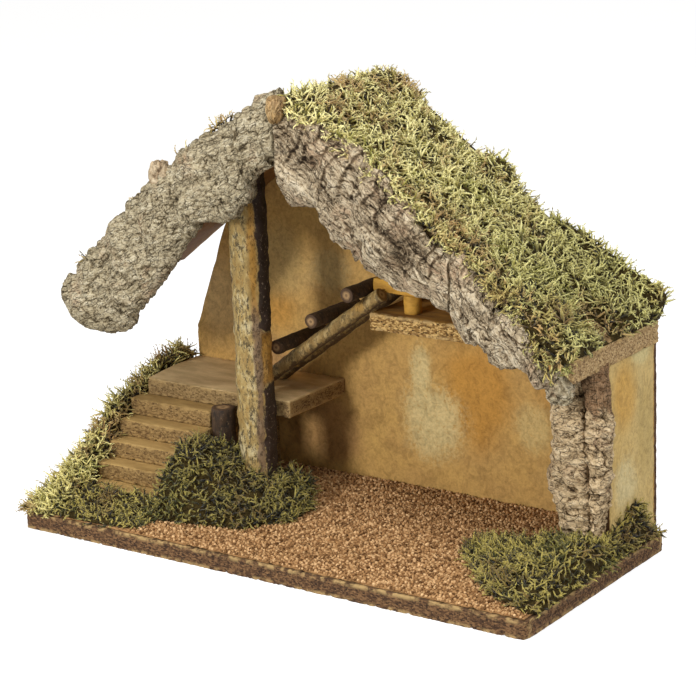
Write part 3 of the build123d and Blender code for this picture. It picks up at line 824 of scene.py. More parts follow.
@dataclass(frozen=True)
class Plank:
    """Board carried along its length through four-cornered sections, with rounded and worn arrises.

    Attributes:
        section: Gives the four corners, in order round the board, at distances along it.
        length: Length of the board.
        cut: Which sides are raw cuts. The others are painted.
        spacing: Distance between points on each side of the section and along the board.
        rounding: Radius of the arrises.
        face_wear: Unevenness of the painted faces.
        edge_wear: Roughness of the raw edges.
        nick: Depth of the nicks in the arrises.
    """

    section: Section
    length: float
    cut: Cut
    spacing: tuple[float, float, float, float, float]
    rounding: float = 0.9
    face_wear: float = 0.15
    edge_wear: float = 0.4
    nick: float = 0.9

    def stations(self) -> tuple[Array, Array]:
        """Distance along the board of each ring, and how far that ring is drawn in."""
        turn = np.radians([0, 30, 60, 90])
        near = self.rounding * (1 - np.cos(turn))
        drawn = self.rounding * (1 - np.sin(turn))
        ends = self.section(np.array([0.0, self.length]))
        thin = np.linalg.norm(np.roll(ends, -1, axis=1) - ends, axis=-1).min()
        caps = np.linspace(0.46 * thin, self.rounding, 5)[:-1]
        count = max(4, round(self.length / self.spacing[4]))
        middle = np.linspace(self.rounding, self.length - self.rounding, count)[1:-1]
        places = np.concatenate([0 * caps, near, middle, self.length - near[::-1], 0 * caps + self.length])
        return places, np.concatenate([caps, drawn, 0 * middle, drawn[::-1], caps[::-1]])

    def shape(self) -> Shape:
        """Closed surface: at each corner the arc (1-t)^2 a + 2t(1-t) b + t^2 c, between them straight sides.

        Returns:
            The worn board, with the values edge, 1 on raw cuts, and rim, 1 on the arrises.
        """
        places, insets = self.stations()
        corners = self.section(places)
        back = unit(np.roll(corners, 1, axis=1) - corners)
        ahead = unit(np.roll(corners, -1, axis=1) - corners)
        corners = corners + insets[:, None, None] * (back + ahead)
        sides = np.linalg.norm(np.roll(corners, -1, axis=1) - corners, axis=-1)
        bend = np.minimum(self.rounding, 0.45 * sides.min(axis=1))[:, None, None]
        starts, finishes = corners + bend * back, corners + bend * ahead
        raw = self.cut.value
        turn = np.array([0, 0.33, 0.67])[None, :, None]
        rows, edges, rims = [], [], []
        for side in range(4):
            first, corner, last = (part[:, None, side] for part in (starts, corners, finishes))
            rows.append((1 - turn) ** 2 * first + 2 * turn * (1 - turn) * corner + turn ** 2 * last)
            edges.append(np.array([raw[side - 1], (raw[side - 1] + raw[side]) / 2, raw[side]]))
            rims.append(np.ones(3))
            long = float(np.median(sides[:, side]))
            count = max(2, round(long / self.spacing[side]))
            share = np.arange(count) / count
            target = np.roll(starts, -1, axis=1)[:, None, side]
            rows.append(last + share[None, :, None] * (target - last))
            edges.append(np.full(count, raw[side]))
            rims.append(1 - ease(np.minimum(share, 1 - share) * long, 0.0, 3.0))
        rings = np.concatenate(rows, axis=1)
        cap = (insets > self.rounding * 0.99)[:, None]
        edge = np.where(cap, raw[4], np.concatenate(edges)[None, :])
        rim = np.where(insets[:, None] > 0, 1 - ease(insets, self.rounding, self.rounding + 3)[:, None],
                       np.concatenate(rims)[None, :])
        return self.worn(tube(rings, {"edge": edge, "rim": rim}))

    def worn(self, shape: Shape) -> Shape:
        """Roughens the raw edges, unsettles the faces and breaks nicks out of the arrises."""
        edge, rim = shape.values["edge"], shape.values["rim"]
        wear = edge * self.edge_wear * NOISE.layered(shape.points / 1.7, 2)
        wear += (1 - edge) * self.face_wear * NOISE.layered(shape.points / 9, 3)
        return shape.moved(wear - self.nick * rim * ease(NOISE.layered(shape.points / 4, 2), 0.1, 0.7))


@dataclass(frozen=True)
class Branch:
    """Round branch between two ends, knobbly, with cut ends.

    Attributes:
        start: Middle of the first end.
        end: Middle of the last end.
        radius: Radius in the middle.
        low: Distance along the axis at which the branch starts, for offsets from the axis.
        high: Distance along the axis at which it ends, for offsets from the axis.
        bumps: Height of the knobs.
        spacing: Distance between points.
    """

    start: Triple
    end: Triple
    radius: float
    low: Section | None = None
    high: Section | None = None
    bumps: float = 0.5
    spacing: float = 1.4

    def shape(self) -> Shape:
        """Closed surface: rings at a radius that their noise moves, and rings that fill the cuts.

        Returns:
            The branch with the values ring, its share of the radius, edge, 1 on the cuts, angle about the
            axis and height along it.
        """
        start, end = np.array(self.start), np.array(self.end)
        length = float(np.linalg.norm(end - start))
        axis = (end - start) / length
        level = np.cross(axis, (0, 1.0, 0)) if abs(axis[0]) >= 0.9 else np.array([1.0, 0, 0]) - axis[0] * axis
        first = unit(level)
        second = np.cross(axis, first)
        sides = max(14, round(2 * math.pi * self.radius / self.spacing))
        angle = np.linspace(0, 2 * math.pi, sides, endpoint=False)
        cut = np.array([0.12, 0.35, 0.6, 0.8, 0.93])
        body = np.linspace(0, 1, max(6, round(length / self.spacing)))
        bevel = 0.5 / length
        shares = np.concatenate([cut, 0 * body + 1, cut[::-1]])
        heights = np.concatenate([0 * cut, bevel + body * (1 - 2 * bevel), 0 * cut + 1])
        spokes = np.cos(angle)[:, None] * first + np.sin(angle)[:, None] * second
        centre = start + axis * (heights * length)[:, None]
        where = centre[:, None] + spokes * self.radius
        knobs = self.bumps * (NOISE.layered(where / 11 + 40, 3) + 0.3 * NOISE.layered(where / 2.6, 2))
        radius = (self.radius + knobs) * shares[:, None]
        offsets = spokes[None] * radius[..., None]
        low = self.low(offsets) if self.low else np.zeros(radius.shape)
        high = self.high(offsets) if self.high else np.full(radius.shape, length)
        rough = np.where((shares < 1)[:, None], 0.25 * NOISE.layered(where / 1.6, 2) * shares[:, None], 0)
        along = low + heights[:, None] * (high - low) + rough
        rings = start + axis * along[..., None] + offsets
        flat = np.ones(radius.shape)
        return tube(rings, {"ring": shares[:, None] * flat, "edge": (shares < 1)[:, None] * flat,
                            "angle": angle[None, :] * flat, "height": along})


def cork_relief(local: Array, size: Triple, bend: float = 2.2) -> dict[str, Array]:
    """Relief of cork bark on warped places, a sum of lumps, thin layers and cracks.

    Lumps are a smooth noise. Layers are a noise along the grain cut into flat steps. Fissures and the finer
    splits run along the grain, and the cracks across it, each on the zero line of a stretched noise.

    Args:
        local: Places on the bark in millimetres: along the grain, across it and in depth.
        size: Size of a scale on each axis.
        bend: How far the grain wanders.

    Returns:
        The values lift, the height in millimetres, relief, from 0 in a crack to 1 on a crest, which the
        colour follows as partly painted shade and painted highlight, plate, one value for each layer, warm,
        and grain, the warped places in scales.
    """
    warp = np.stack([NOISE.layered(local / 9 + shift, 3) for shift in (0.0, 31.7, 57.1)], axis=-1)
    grain = (local + bend * warp) / np.array(size)
    lumps = NOISE.layered(local / 19 + 3, 2)
    steps = 2.6 * NOISE.layered(grain / 1.5 + 17, 2)
    layers = np.floor(steps) + ease(steps - np.floor(steps), 0.7, 1.0)
    broken = ease(NOISE.layered(local / 10 + 71, 2), -0.4, 0.3)
    fissure = 1 - ease(np.abs(NOISE.smooth(0.5 * grain + 5)), 0.01, 0.09)
    splits = (1 - ease(np.abs(NOISE.smooth(1.1 * grain + 29)), 0.01, 0.12)) * (1 - 0.6 * broken)
    across = (local + 1.5 * bend * warp) / np.array([3.6, 9.0, 9.0])
    cracks = (1 - ease(np.abs(NOISE.smooth(across + 43)), 0.01, 0.08)) * broken
    fine = NOISE.layered(local / 1.4, 3, 0.6)
    lift = 1.1 * lumps + 0.65 * layers + 0.12 * fine - 1.0 * fissure - 0.5 * splits - 0.8 * cracks
    # relief darkens the colour in fissures, splits, cracks and lower layers, partly as painted shade in them.
    relief = (0.67 + 0.06 * lumps + 0.07 * layers + 0.05 * fine
              - 0.40 * fissure - 0.18 * splits - 0.34 * cracks)
    plate = 0.5 + 0.5 * np.sin(4.1 * layers + 2 * lumps)
    return {"lift": lift, "relief": relief, "plate": plate, "warm": 0 * lift, "grain": grain}


def raised(rings: Array, values: dict[str, Array]) -> Shape:
    """Closed tube through rings of bark, raised along its normals by the value lift."""
    shape = tube(rings, {**values, "relief": np.clip(values["relief"], 0, 1)})
    return shape.moved(shape.values.pop("lift"))


@dataclass(frozen=True)
class BarkSlab:
    """Slab of cork bark along one slope of the roof's front.

    Attributes:
        side: -1 on the left slope and 1 on the right.
        pitch: Pitch of the slope.
        upper: Upper outline as (along, across) corners in millimetres from the ridge and the roof's top.
        lower: Lower outline likewise.
        cut_start: X of a plumb cut at the slab's upper end, if any.
        cut_end: X of a plumb cut at its lower end, if any.
        rim: Thickness of the slab's edges.
        lump: Share of the thickness that the broad lumps take.
        lump_pitch: Distance between them.
        flake: Size of a flake along the slope, across it and in depth.
        bend: How far the grain wanders.
        turn: Angle of the grain to the slope.
        rough: Share of the small relief that is kept.
        wrinkle: Depth of the wrinkles that cross the upper half.
        eye: Place along and across, and reach, of a knot ringed by wrinkles.
        spacing: Distance between points along the slab.
        columns: Points across its front.
    """

    side: int
    pitch: float
    upper: Outline
    lower: Outline
    cut_start: float | None = None
    cut_end: float | None = None
    rim: float = 4.0
    lump: float = 0.35
    lump_pitch: float = 46.0
    flake: Triple = (11.0, 3.4, 4.6)
    bend: float = 1.2
    turn: float = 0.28
    rough: float = 0.55
    wrinkle: float = 0.0
    eye: Triple = (0.0, 999.0, 1.0)
    spacing: float = 0.7
    columns: int = 96

    def place(self, along: Array, across: Array, depth: Array) -> Array:
        """Point at a distance along the slope, across it and in depth."""
        flat = along * math.cos(self.pitch) + across * math.sin(self.pitch)
        rise = across * math.cos(self.pitch) - along * math.sin(self.pitch)
        return np.stack([RIDGE_X + self.side * flat, 0 * flat + depth, RIDGE_Z + rise], axis=-1)

    def limit(self, outline: Outline, end: int, cut: float | None) -> float:
        """Distance along the slope at which an outline ends: its own end, or a plumb cut."""
        along = outline[end][0]
        for _ in range(12 if cut is not None else 0):
            across = float(line_through(outline, np.array(along)))
            along = (self.side * (cut - RIDGE_X) - across * math.sin(self.pitch)) / math.cos(self.pitch)
        return along

    def shape(self, front: float, back: float) -> Shape:
        """Closed surface: a lens of bark between the two ragged outlines, raised by the cork relief.

        Args:
            front: Y of the bark's front.
            back: Y of its back.

        Returns:
            The slab with the values of its relief.
        """
        cuts = ((0, self.cut_start), (-1, self.cut_end))
        outlines = (self.lower, self.upper)
        low, high = ([self.limit(outline, end, cut) for end, cut in cuts] for outline in outlines)
        rows = round(max(low[1] - low[0], high[1] - high[0]) / self.spacing)
        places, heights = [], []
        for outline, reach, seed in ((self.lower, low, 21.0), (self.upper, high, 4.0)):
            along = np.linspace(*reach, rows)
            spot = np.stack([along, 0 * along + 3.3 * self.side, 0 * along + seed], axis=-1)
            places.append(along)
            chipped = 2.6 * (NOISE.cells(spot / 5.0)[1] - 0.5) + 1.5 * NOISE.layered(spot / 7, 4, 0.6)
            heights.append(line_through(outline, along) + chipped)
        share = 0.5 - 0.5 * np.cos(np.linspace(0, math.pi, self.columns))
        rear = np.linspace(1, 0, 18)[1:-1]
        mix = np.concatenate([share, rear])[None, :]
        lens = np.concatenate([(1 - np.abs(2 * share - 1) ** 3.2) ** 0.5, 0 * rear])[None, :]
        shown = np.concatenate([0 * share + 1, 0 * rear])[None, :]
        along = places[0][:, None] * (1 - mix) + places[1][:, None] * mix
        across = heights[0][:, None] * (1 - mix) + heights[1][:, None] * mix
        near = np.minimum(places[0] - low[0], places[1] - high[0]) + (99 if self.cut_start is not None else 0)
        far = np.minimum(low[1] - places[0], high[1] - places[1]) + (99 if self.cut_end is not None else 0)
        free = np.sqrt(1 - (1 - np.clip(np.minimum(near, far), 0, 10) / 10) ** 2)[:, None]
        turns = along / self.lump_pitch
        wave = 0.6 * np.sin(2 * math.pi * (turns + mix)) + 0.4 * np.sin(math.pi * (3 * turns - mix))
        dome = lens * (1 - self.lump * (1 + wave) / 2)
        rim = self.rim / (back - front)
        depth = back + (front - back) * (rim * shown + (1 - rim) * dome) * (0.15 + 0.85 * free)
        cos, sin = math.cos(self.turn), math.sin(self.turn)
        local = np.stack([along * cos + across * sin, across * cos - along * sin, 1.2 * depth], axis=-1)
        local = local + 60 * self.side
        values = cork_relief(local, self.flake, self.bend)
        values["lift"] = values["lift"] * self.rough
        self.wrinkled(values, local, along, across, mix)
        ends = np.minimum(places[0] - low[0], low[1] - places[0])
        tapered = (0.35 + 0.65 * lens ** 0.5) * (0.2 + 0.8 * ease(ends, 0.0, 5.0))[:, None]
        values["lift"] = values["lift"] * shown * tapered
        return raised(self.place(along, across, depth), values)

    def wrinkled(self, values: dict[str, Array], local: Array, along: Array, across: Array,
                 mix: Array) -> None:
        """Adds saw-toothed wrinkles across the upper half and rings of them round the knot, with painted
        shade in their creases and in the knot's hollow.

        Args:
            values: Values of the relief, changed in place.
            local: Places on the bark along its grain, across it and in depth.
            along: Distance along the slope.
            across: Distance across it.
            mix: Share of the way from the lower outline to the upper.
        """
        away = np.hypot(along - self.eye[0], across - self.eye[1])
        near_eye = 1 - ease(away, 0.5 * self.eye[2], self.eye[2])
        upper = ease(mix, 0.42, 0.60) * (1 - near_eye) * self.wrinkle
        upper = upper * (0.4 + 0.6 * ease(NOISE.layered(local / 21 + 2, 2), -0.5, 0.1))
        turn = (along + 6.5 * NOISE.layered(local / 19 + 9, 2) + 9 * mix) / 11
        rounds = (away + 1.6 * NOISE.layered(local / 8, 2)) / 4.6
        for weight, phase in ((upper, turn), (near_eye, rounds)):
            saw = phase - np.floor(phase)
            painted_crease_shade = ease(saw, 0.78, 0.92) - ease(saw, 0.94, 1.0)
            values["lift"] = values["lift"] + weight * (2.2 * saw * (1 - ease(saw, 0.84, 1.0)) - 0.8)
            # Painted shade: relief is lowered in the creases, which darkens their colour.
            values["relief"] = values["relief"] - weight * (0.36 * painted_crease_shade + 0.08 * (1 - saw))
        values["lift"] = values["lift"] - 2.4 * near_eye * (1 - ease(away, 0, 0.4 * self.eye[2]))
        # Painted shade in the knot's hollow.
        values["relief"] = values["relief"] - 0.16 * near_eye


@dataclass(frozen=True)
class BarkColumn:
    """Upright lobe of cork bark.

    Attributes:
        left: Left outline as (z, x) corners.
        right: Right outline as (z, x) corners.
        depth: Lowest and highest Y.
        heights: Lowest and highest Z.
        brown_from: Z above which the bark is brown and fibrous.
        spacing: Distance between points along the lobe.
    """

    left: Outline
    right: Outline
    depth: tuple[float, float]
    heights: tuple[float, float]
    brown_from: float
    spacing: float = 0.8

    def shape(self) -> Shape:
        """Closed surface: rings |x/a|^2.6 + |y/b|^2.6 = 1 between the outlines, raised by the cork relief.

        Returns:
            The lobe with the values of its relief.
        """
        z = np.linspace(*self.heights, round((self.heights[1] - self.heights[0]) / self.spacing))[:, None]
        turn = np.linspace(0, 2 * math.pi, 96, endpoint=False)[None, :]
        left, right = line_through(self.left, z), line_through(self.right, z)
        power = 2.6
        size = (np.abs(np.cos(turn)) ** power + np.abs(np.sin(turn)) ** power) ** (1 / power)
        tip = np.sqrt(1 - (1 - np.clip(self.heights[1] - z, 0, 7) / 7) ** 2) * 0.85 + 0.15
        x = (left + right) / 2 + (right - left) / 2 * np.cos(turn) / size * tip
        y = sum(self.depth) / 2 + (self.depth[1] - self.depth[0]) / 2 * np.sin(turn) / size * tip
        rings = np.stack([x, y, z + 0 * x], axis=-1)
        values = cork_relief(rings[..., [2, 0, 1]] + 140, (4.0, 9.0, 9.0), 1.2)
        values["warm"] = ease(z + 5 * NOISE.layered(rings / 9, 2), self.brown_from - 4, self.brown_from + 5)
        from_end = np.minimum(z - self.heights[0], self.heights[1] - z)
        values["lift"] = 0.95 * values["lift"] * ease(from_end, 0, 4)
        return raised(rings, values)


def blob(centre: Triple, reach: Triple, grain: Triple, strength: float, power: float, flow: float = 0.0,
         taper: float = 0.0) -> Shape:
    """Lump of cork: a rounded box |x/a|^p + |y/b|^p + |z/c|^p = 1, tapered along Z, with the cork relief.

    Args:
        centre: Middle of the lump.
        reach: Half its size on each axis.
        grain: Size of a plate on each axis.
        strength: Share of the full relief.
        power: Squareness, 2 for an ellipsoid.
        flow: Depth of wrinkles that run round the lump's front.
        taper: Share by which the lump is wider at its top than in its middle.

    Returns:
        The lump with the values of its relief.
    """
    polar = np.linspace(0.05, math.pi - 0.05, 37)[:, None]
    turn = np.linspace(0, 2 * math.pi, 72, endpoint=False)[None, :]
    wide = np.sin(polar)
    way = np.stack([wide * np.cos(turn), np.cos(polar) + 0 * turn, wide * np.sin(turn)], axis=-1)
    size = np.sum(np.abs(way) ** power, axis=-1) ** (1 / power)
    rings = way / size[..., None]
    rings[..., 0] *= 1 + taper * rings[..., 2]
    rings = np.array(centre) + rings * np.array(reach)
    values = cork_relief(rings + 300, grain)
    wrinkle = np.sin(polar * 11 + 2.5 * NOISE.layered(rings / 6, 2))
    values["lift"] = strength * values["lift"] + flow * wrinkle
    # relief follows the wrinkles too: painted shade in their troughs and painted highlight on their ridges.
    values["relief"] = values["relief"] + 0.25 * flow * wrinkle
    return raised(rings, values)


@dataclass(frozen=True)
class Mat:
    """Cushion of moss over a patch of ground.

    Attributes:
        place: Turns shares along and across the patch, and a height, into points.
        height: Height of the cushion at shares along and across.
        rows: Points along.
        columns: Points across.
        dead: How dry the moss is at shares along and across, if it isn't fresh all over.
        thin: Height under which nothing grows.
        sunk: Depth of the roots under the cushion's top.
    """

    place: Place
    height: Callable[[Array, Array], Array]
    rows: int
    columns: int
    dead: Callable[[Array, Array], Array] | None = None
    thin: float = 0.0
    sunk: float = 1.6

    def lifted(self, along: Array, across: Array) -> Array:
        """Places of roots, a little under the cushion's top."""
        return self.place(along, across, self.height(along, across) - self.sunk)

    def shape(self) -> Shape:
        """Closed surface: the top at its height, moved by a noise, and a flat underside."""
        along = np.linspace(0, 1, self.rows)[:, None]
        over = np.linspace(0, 1, self.columns)[None, :] + 0 * along
        under = np.linspace(1, 0, max(4, self.columns // 4))[None, 1:-1] + 0 * along
        level = self.height(along + 0 * over, over)
        rough = 1.1 * NOISE.layered(self.place(along + 0 * over, over, level) / 3.2, 2)
        top = self.place(along + 0 * over, over, np.maximum(level - 0.8 + rough, 0))
        flat = self.place(along + 0 * under, under, 0 * under - 0.2)
        return tube(np.concatenate([top, flat], axis=1), {})

    def roots(self, count: int, bare: float, draws: np.random.Generator) -> "Roots":
        """Seeded places for strands, away from bare ground, where the cushion is thin or a noise is low.

        Args:
            count: Number of places tried.
            bare: Level of the noise below which the ground stays bare.
            draws: Source of the random draws.

        Returns:
            The roots, in order along the patch.
        """
        shares = draws.random((count, 2))
        along, across = shares[np.argsort(shares[:, 0])].T
        here = self.lifted(along, across)
        keep = (NOISE.layered(here / 5.5 + 13, 2) > bare) & (self.height(along, across) > self.thin)
        along, across, here = along[keep], across[keep], here[keep]
        nudge = 0.004
        first = self.lifted(along + nudge, across) - here
        second = self.lifted(along, across + nudge) - here
        up = unit(np.cross(first, second))
        level = unit(self.place(along, across, 0 * along + 1.0) - self.place(along, across, 0 * along))
        up = unit(np.where(np.sum(up * level, axis=-1, keepdims=True) < 0, -up, up) + 0.6 * level)
        dead = np.clip(self.dead(along, across), 0, 1) if self.dead else 0 * along
        edge = np.minimum(np.minimum(along, 1 - along) / 0.06, np.minimum(across, 1 - across) / 0.12)
        return Roots(here, up, level, dead, 0.72 + 0.28 * np.clip(edge, 0, 1))


@dataclass(frozen=True)
class Roots:
    """Where the strands of a patch of moss are rooted.

    Attributes:
        points: Places of the roots.
        up: Way out of the cushion at each root.
        level: Way out of the ground under it.
        dead: How dry the moss is there, from 0 to 1.
        vigour: Share of the full length to which strands grow there.
    """

    points: Array
    up: Array
    level: Array
    dead: Array
    vigour: Array

    def part(self, number: int, parts: int) -> "Roots":
        """One of several even parts of the roots."""
        chosen = np.array_split(np.arange(len(self.points)), parts)[number]
        return Roots(*(value[chosen] for value in (self.points, self.up, self.level, self.dead, self.vigour)))


# Shares along a stem of moss at which its leaves sit.
LEAF_PLACES = np.array([0.35, 0.55, 0.72, 0.9])


@dataclass(frozen=True)
class Strands:
    """How the strands of a patch of moss grow.

    Attributes:
        count: Number of strands.
        length: Shortest and longest strand.
        lean: Lowest and highest angle to the ground, in degrees.
        radius: Radius of a stem.
        curl: How far a strand turns between its root and its tip.
        bare: Level of the noise below which the ground stays bare.
    """

    count: int
    length: tuple[float, float] = (6.5, 14.0)
    lean: tuple[float, float] = (2.0, 42.0)
    radius: float = 0.62
    curl: float = 1.9
    bare: float = -0.34

    def shape(self, roots: Roots, draws: np.random.Generator) -> Shape:
        """Closed three-sided stems with small leaves.

        Each stem follows root + length * (t * start + t^2 / 2 * (end - start)), where start and end are the
        directions at its root and its tip, and never dips under the ground. Neighbours head the same
        way, by a noise. Each leaf is a thin pyramid on the stem.

        Args:
            roots: Where the strands are rooted.
            draws: Source of the random draws.

        Returns:
            All the strands as one shape, with the values along, tint and dead.
        """
        count = len(roots.points)
        swirl = np.stack([NOISE.smooth(roots.points / 13 + shift) for shift in (3.0, 47.0, 91.0)], axis=-1)
        heading = 1.5 * swirl + 0.75 * draws.normal(size=(count, 3))
        heading = unit(heading - np.sum(heading * roots.up, axis=-1, keepdims=True) * roots.up)
        lean = np.radians(draws.uniform(*self.lean, count))[:, None]
        start = heading * np.cos(lean) + roots.up * np.sin(lean)
        bent = self.curl * unit(draws.normal(size=(count, 3)))
        end = unit(start + bent + roots.up * draws.uniform(-0.6, 0.4, (count, 1)))
        length = (draws.uniform(*self.length, count) * roots.vigour)[:, None, None]
        share = np.linspace(0, 1, 6)[None, :, None]
        grown = length * (share * start[:, None] + share ** 2 / 2 * (end - start)[:, None])
        dip = np.minimum(np.sum(grown * roots.level[:, None], axis=-1, keepdims=True) + 1.0, 0)
        path = roots.points[:, None] + grown - dip * roots.level[:, None]
        heading = unit(start[:, None] + share * (end - start)[:, None])
        side = unit(np.cross(heading, roots.up[:, None] + 0.01))
        other = np.cross(heading, side)
        turn = np.radians([90, 210, 330])
        spokes = np.cos(turn)[:, None] * side[:, :, None] + np.sin(turn)[:, None] * other[:, :, None]
        thick = self.radius * np.array([0.8, 1.0, 1.1, 1.05, 0.8, 0.25])[None, :, None, None]
        thick = thick * draws.uniform(0.7, 1.3, (count, 1, 1, 1))
        stems = (path[:, :, None] + spokes * thick).reshape(count, 18, 3)
        quads = grid_quads(6, 3)
        ends = np.array([[0, 1, 2], [17, 16, 15]])
        leaves, leaf_faces = self.leaves(path, heading, side, other, draws)
        points = np.concatenate([stems, leaves], axis=1)
        step = (np.arange(count) * points.shape[1])[:, None, None]
        triangles = np.concatenate([ends, leaf_faces + 18])
        along = np.concatenate([np.repeat(share[0, :, 0], 3), np.repeat(LEAF_PLACES, 4)])
        tint, dead = (np.repeat(value, points.shape[1]) for value in (draws.random(count), roots.dead))
        values = {"along": np.tile(along, count), "tint": tint, "dead": dead}
        return Shape(points.reshape(-1, 3), (quads[None] + step).reshape(-1, 4),
                     (triangles[None] + step).reshape(-1, 3), values)

    @staticmethod
    def leaves(path: Array, heading: Array, side: Array, other: Array,
               draws: np.random.Generator) -> tuple[Array, Array]:
        """Leaves as thin pyramids: three points on the stem and a tip out to the side.

        Args:
            path: Points along each stem.
            heading: Direction of the stem at those points.
            side: First direction across it.
            other: Second direction across it.
            draws: Source of the random draws.

        Returns:
            Points of the leaves of each strand, and their triangles.
        """
        count = len(path)
        groups = []
        for place in LEAF_PLACES:
            here = min(5, int(place * 5 + 0.5))
            turn = draws.uniform(0, 2 * math.pi, (count, 1))
            out = np.cos(turn) * side[:, here] + np.sin(turn) * other[:, here]
            flat = np.cross(heading[:, here], out)
            middle, way = path[:, here], heading[:, here]
            tip = middle + (0.9 * out + 0.9 * way) * draws.uniform(1.2, 2.4, (count, 1))
            groups += [
                middle - 0.5 * way, middle + 0.5 * way + 0.45 * flat, middle + 0.5 * way - 0.45 * flat, tip]
        faces = np.array([[0, 2, 1], [0, 1, 3], [1, 2, 3], [2, 0, 3]])
        return np.stack(groups, axis=1), np.concatenate([faces + 4 * leaf for leaf in range(4)])


CHIPBOARD = Chipboard(
    "chipboard", tone(224, 194, 142), tone(184, 154, 106), tone(158, 131, 87), tone(134, 108, 68),
    tone(86, 63, 39), tone(178, 148, 98))
# Darker copy of the landing's chipboard: painted shade that offsets the top lamp on the treads.
TREAD_BOARD_PAINTED_SHADE = Chipboard(
    "tread_board_painted_shade", tone(176, 144, 88), tone(142, 112, 64), tone(160, 130, 82), tone(134, 106, 64),
    tone(84, 60, 35), tone(178, 146, 92))
SHELF_BOARD = Chipboard(
    "shelf_board", tone(176, 132, 62), tone(120, 86, 44), tone(220, 184, 118), tone(148, 110, 58),
    tone(62, 40, 20))
BASE_BOARD = Chipboard(
    "base_board_paint", tone(98, 72, 48), tone(62, 44, 30), tone(134, 100, 66), tone(88, 62, 40),
    tone(44, 30, 20))
ROOF_BOARD = Chipboard(
    "roof_board_paint", tone(112, 88, 56), tone(78, 56, 34), tone(196, 168, 122), tone(160, 130, 88),
    tone(96, 72, 48))

CREAM = tone(232, 214, 156)
OCHRE = tone(204, 146, 56)
PINKISH = tone(176, 136, 96)
PANEL_PAINT = SpongedPaint(
    "panel_paint", tone(202, 160, 94), tone(212, 170, 96), tone(96, 66, 42),
    (
        Dab(tone(182, 138, 84), (-66, 88, 45), (46, 30, 34), 0.8),
        Dab(OCHRE, (62, 88, 92), (42, 30, 52), 0.75),
        Dab(OCHRE, (-109, 88, 132), (26, 30, 22), 0.6),
        Dab(tone(196, 144, 66), (150, 88, 100), (48, 30, 44), 0.6),
        Dab(CREAM, (26, 88, 66), (36, 30, 44), 0.75, True),
        Dab(CREAM, (17, 88, 104), (13, 30, 30), 0.7, True),
        Dab(tone(222, 196, 132), (110, 88, 72), (22, 30, 26), 0.7, True),
        Dab(tone(220, 186, 128), (-160, 88, 132), (34, 30, 44), 0.75),
        Dab(PINKISH, (-120, 88, 90), (40, 30, 30), 0.6, True),
        Dab(tone(206, 176, 114), (-110, 88, 172), (40, 30, 40), 0.7),
        Dab(tone(212, 184, 124), (-60, 88, 168), (24, 30, 22), 0.7, True),
        Dab(tone(204, 170, 108), (150, 88, 40), (46, 30, 24), 0.5, True),
    ),
)
WALL_PAINT = SpongedPaint(
    "wall_paint", tone(210, 184, 124), tone(202, 170, 104), tone(110, 78, 48),
    (
        Dab(tone(204, 156, 70), (204, 46, 120), (30, 22, 34), 0.7),
        Dab(tone(176, 150, 88), (204, 76, 90), (30, 14, 40), 0.5),
        Dab(tone(216, 202, 156), (204, 47, 62), (30, 22, 28), 0.7, True),
        Dab(tone(216, 204, 150), (204, 70, 147), (30, 18, 14), 0.7, True),
    ),
)
SHEET_PAINT = SpongedPaint("sheet_paint", tone(150, 108, 56), tone(128, 88, 46), tone(90, 60, 38),
                           (Dab(tone(170, 130, 70), (-90, 20, 240), (60, 60, 40), 0.6, True),))
YELLOW = BrushedPaint()
BARK = CorkBark()
BROWN_BARK = CorkBark(
    "brown_cork_bark", tone(44, 34, 24), tone(120, 102, 78), tone(186, 168, 138), tone(220, 206, 178))
PALE_BARK = CorkBark(
    "pale_cork_bark", tone(44, 31, 20), tone(136, 112, 80), tone(206, 180, 140), tone(236, 214, 176))
TAN_CORK = CorkBark(
    "tan_cork", tone(92, 74, 54), tone(150, 128, 100), tone(190, 168, 136), tone(214, 196, 166), net=0.4)
GOLD_CORK = CorkBark(
    "gold_cork", tone(84, 60, 34), tone(150, 118, 76), tone(190, 156, 106), tone(216, 188, 142), net=0.6)
POST_LOG = LogPaint(
    "post_log", tone(170, 146, 92), tone(140, 108, 54), tone(168, 122, 48), tone(52, 36, 27),
    tone(150, 130, 108), tone(150, 120, 76), tone(116, 90, 68), tone(44, 33, 21), 0.85, tone(208, 194, 152))
# Its bark colours are the painted shade on the rails' undersides.
LADDER_LOG = LogPaint(
    "ladder_log", tone(160, 132, 80), tone(120, 92, 50), tone(166, 126, 58), tone(96, 74, 46),
    tone(136, 112, 76), tone(170, 138, 88), tone(110, 84, 58), tone(48, 36, 22), 0.7, tone(196, 172, 120))
DARK_LOG = LogPaint(
    "dark_log", tone(104, 78, 52), tone(76, 55, 36), tone(110, 78, 42), tone(84, 62, 42), tone(132, 106, 76),
    tone(168, 134, 92), flecks=0.8, pale=tone(134, 104, 70))
ROOF_MOSS = Moss(
    "roof_moss", tone(26, 20, 7), tone(152, 138, 64), tone(255, 246, 176), tone(188, 150, 96),
    tone(172, 170, 80), 0.5)
BANK_MOSS = Moss(
    "bank_moss", tone(34, 27, 10), tone(158, 146, 70), tone(246, 234, 156), tone(160, 122, 70),
    tone(140, 144, 62))
GROUND_MOSS = Moss(
    "ground_moss", tone(14, 11, 4), tone(74, 64, 21), tone(186, 170, 88), tone(118, 88, 48), tone(90, 92, 34))
# Darker copy of the ground moss: painted shade of the landing and the post over the heap.
HEAP_MOSS_PAINTED_SHADE = Moss(
    "heap_moss_painted_shade", tone(10, 8, 3), tone(58, 51, 17), tone(164, 150, 76), tone(108, 80, 43), tone(74, 77, 28))
MOSS_MAT_PAINTED_SHADE = MossMat()
GRANULES = Granules()


def right_top(x: Array) -> Array:
    """Height of the right roof board's top at a place on X."""
    return RIDGE_Z - math.tan(RIGHT_PITCH) * (x - RIDGE_X)


def left_top(x: Array) -> Array:
    """Height of the left roof sheet's top at a place on X."""
    return RIDGE_Z + math.tan(LEFT_PITCH) * (x - RIDGE_X)


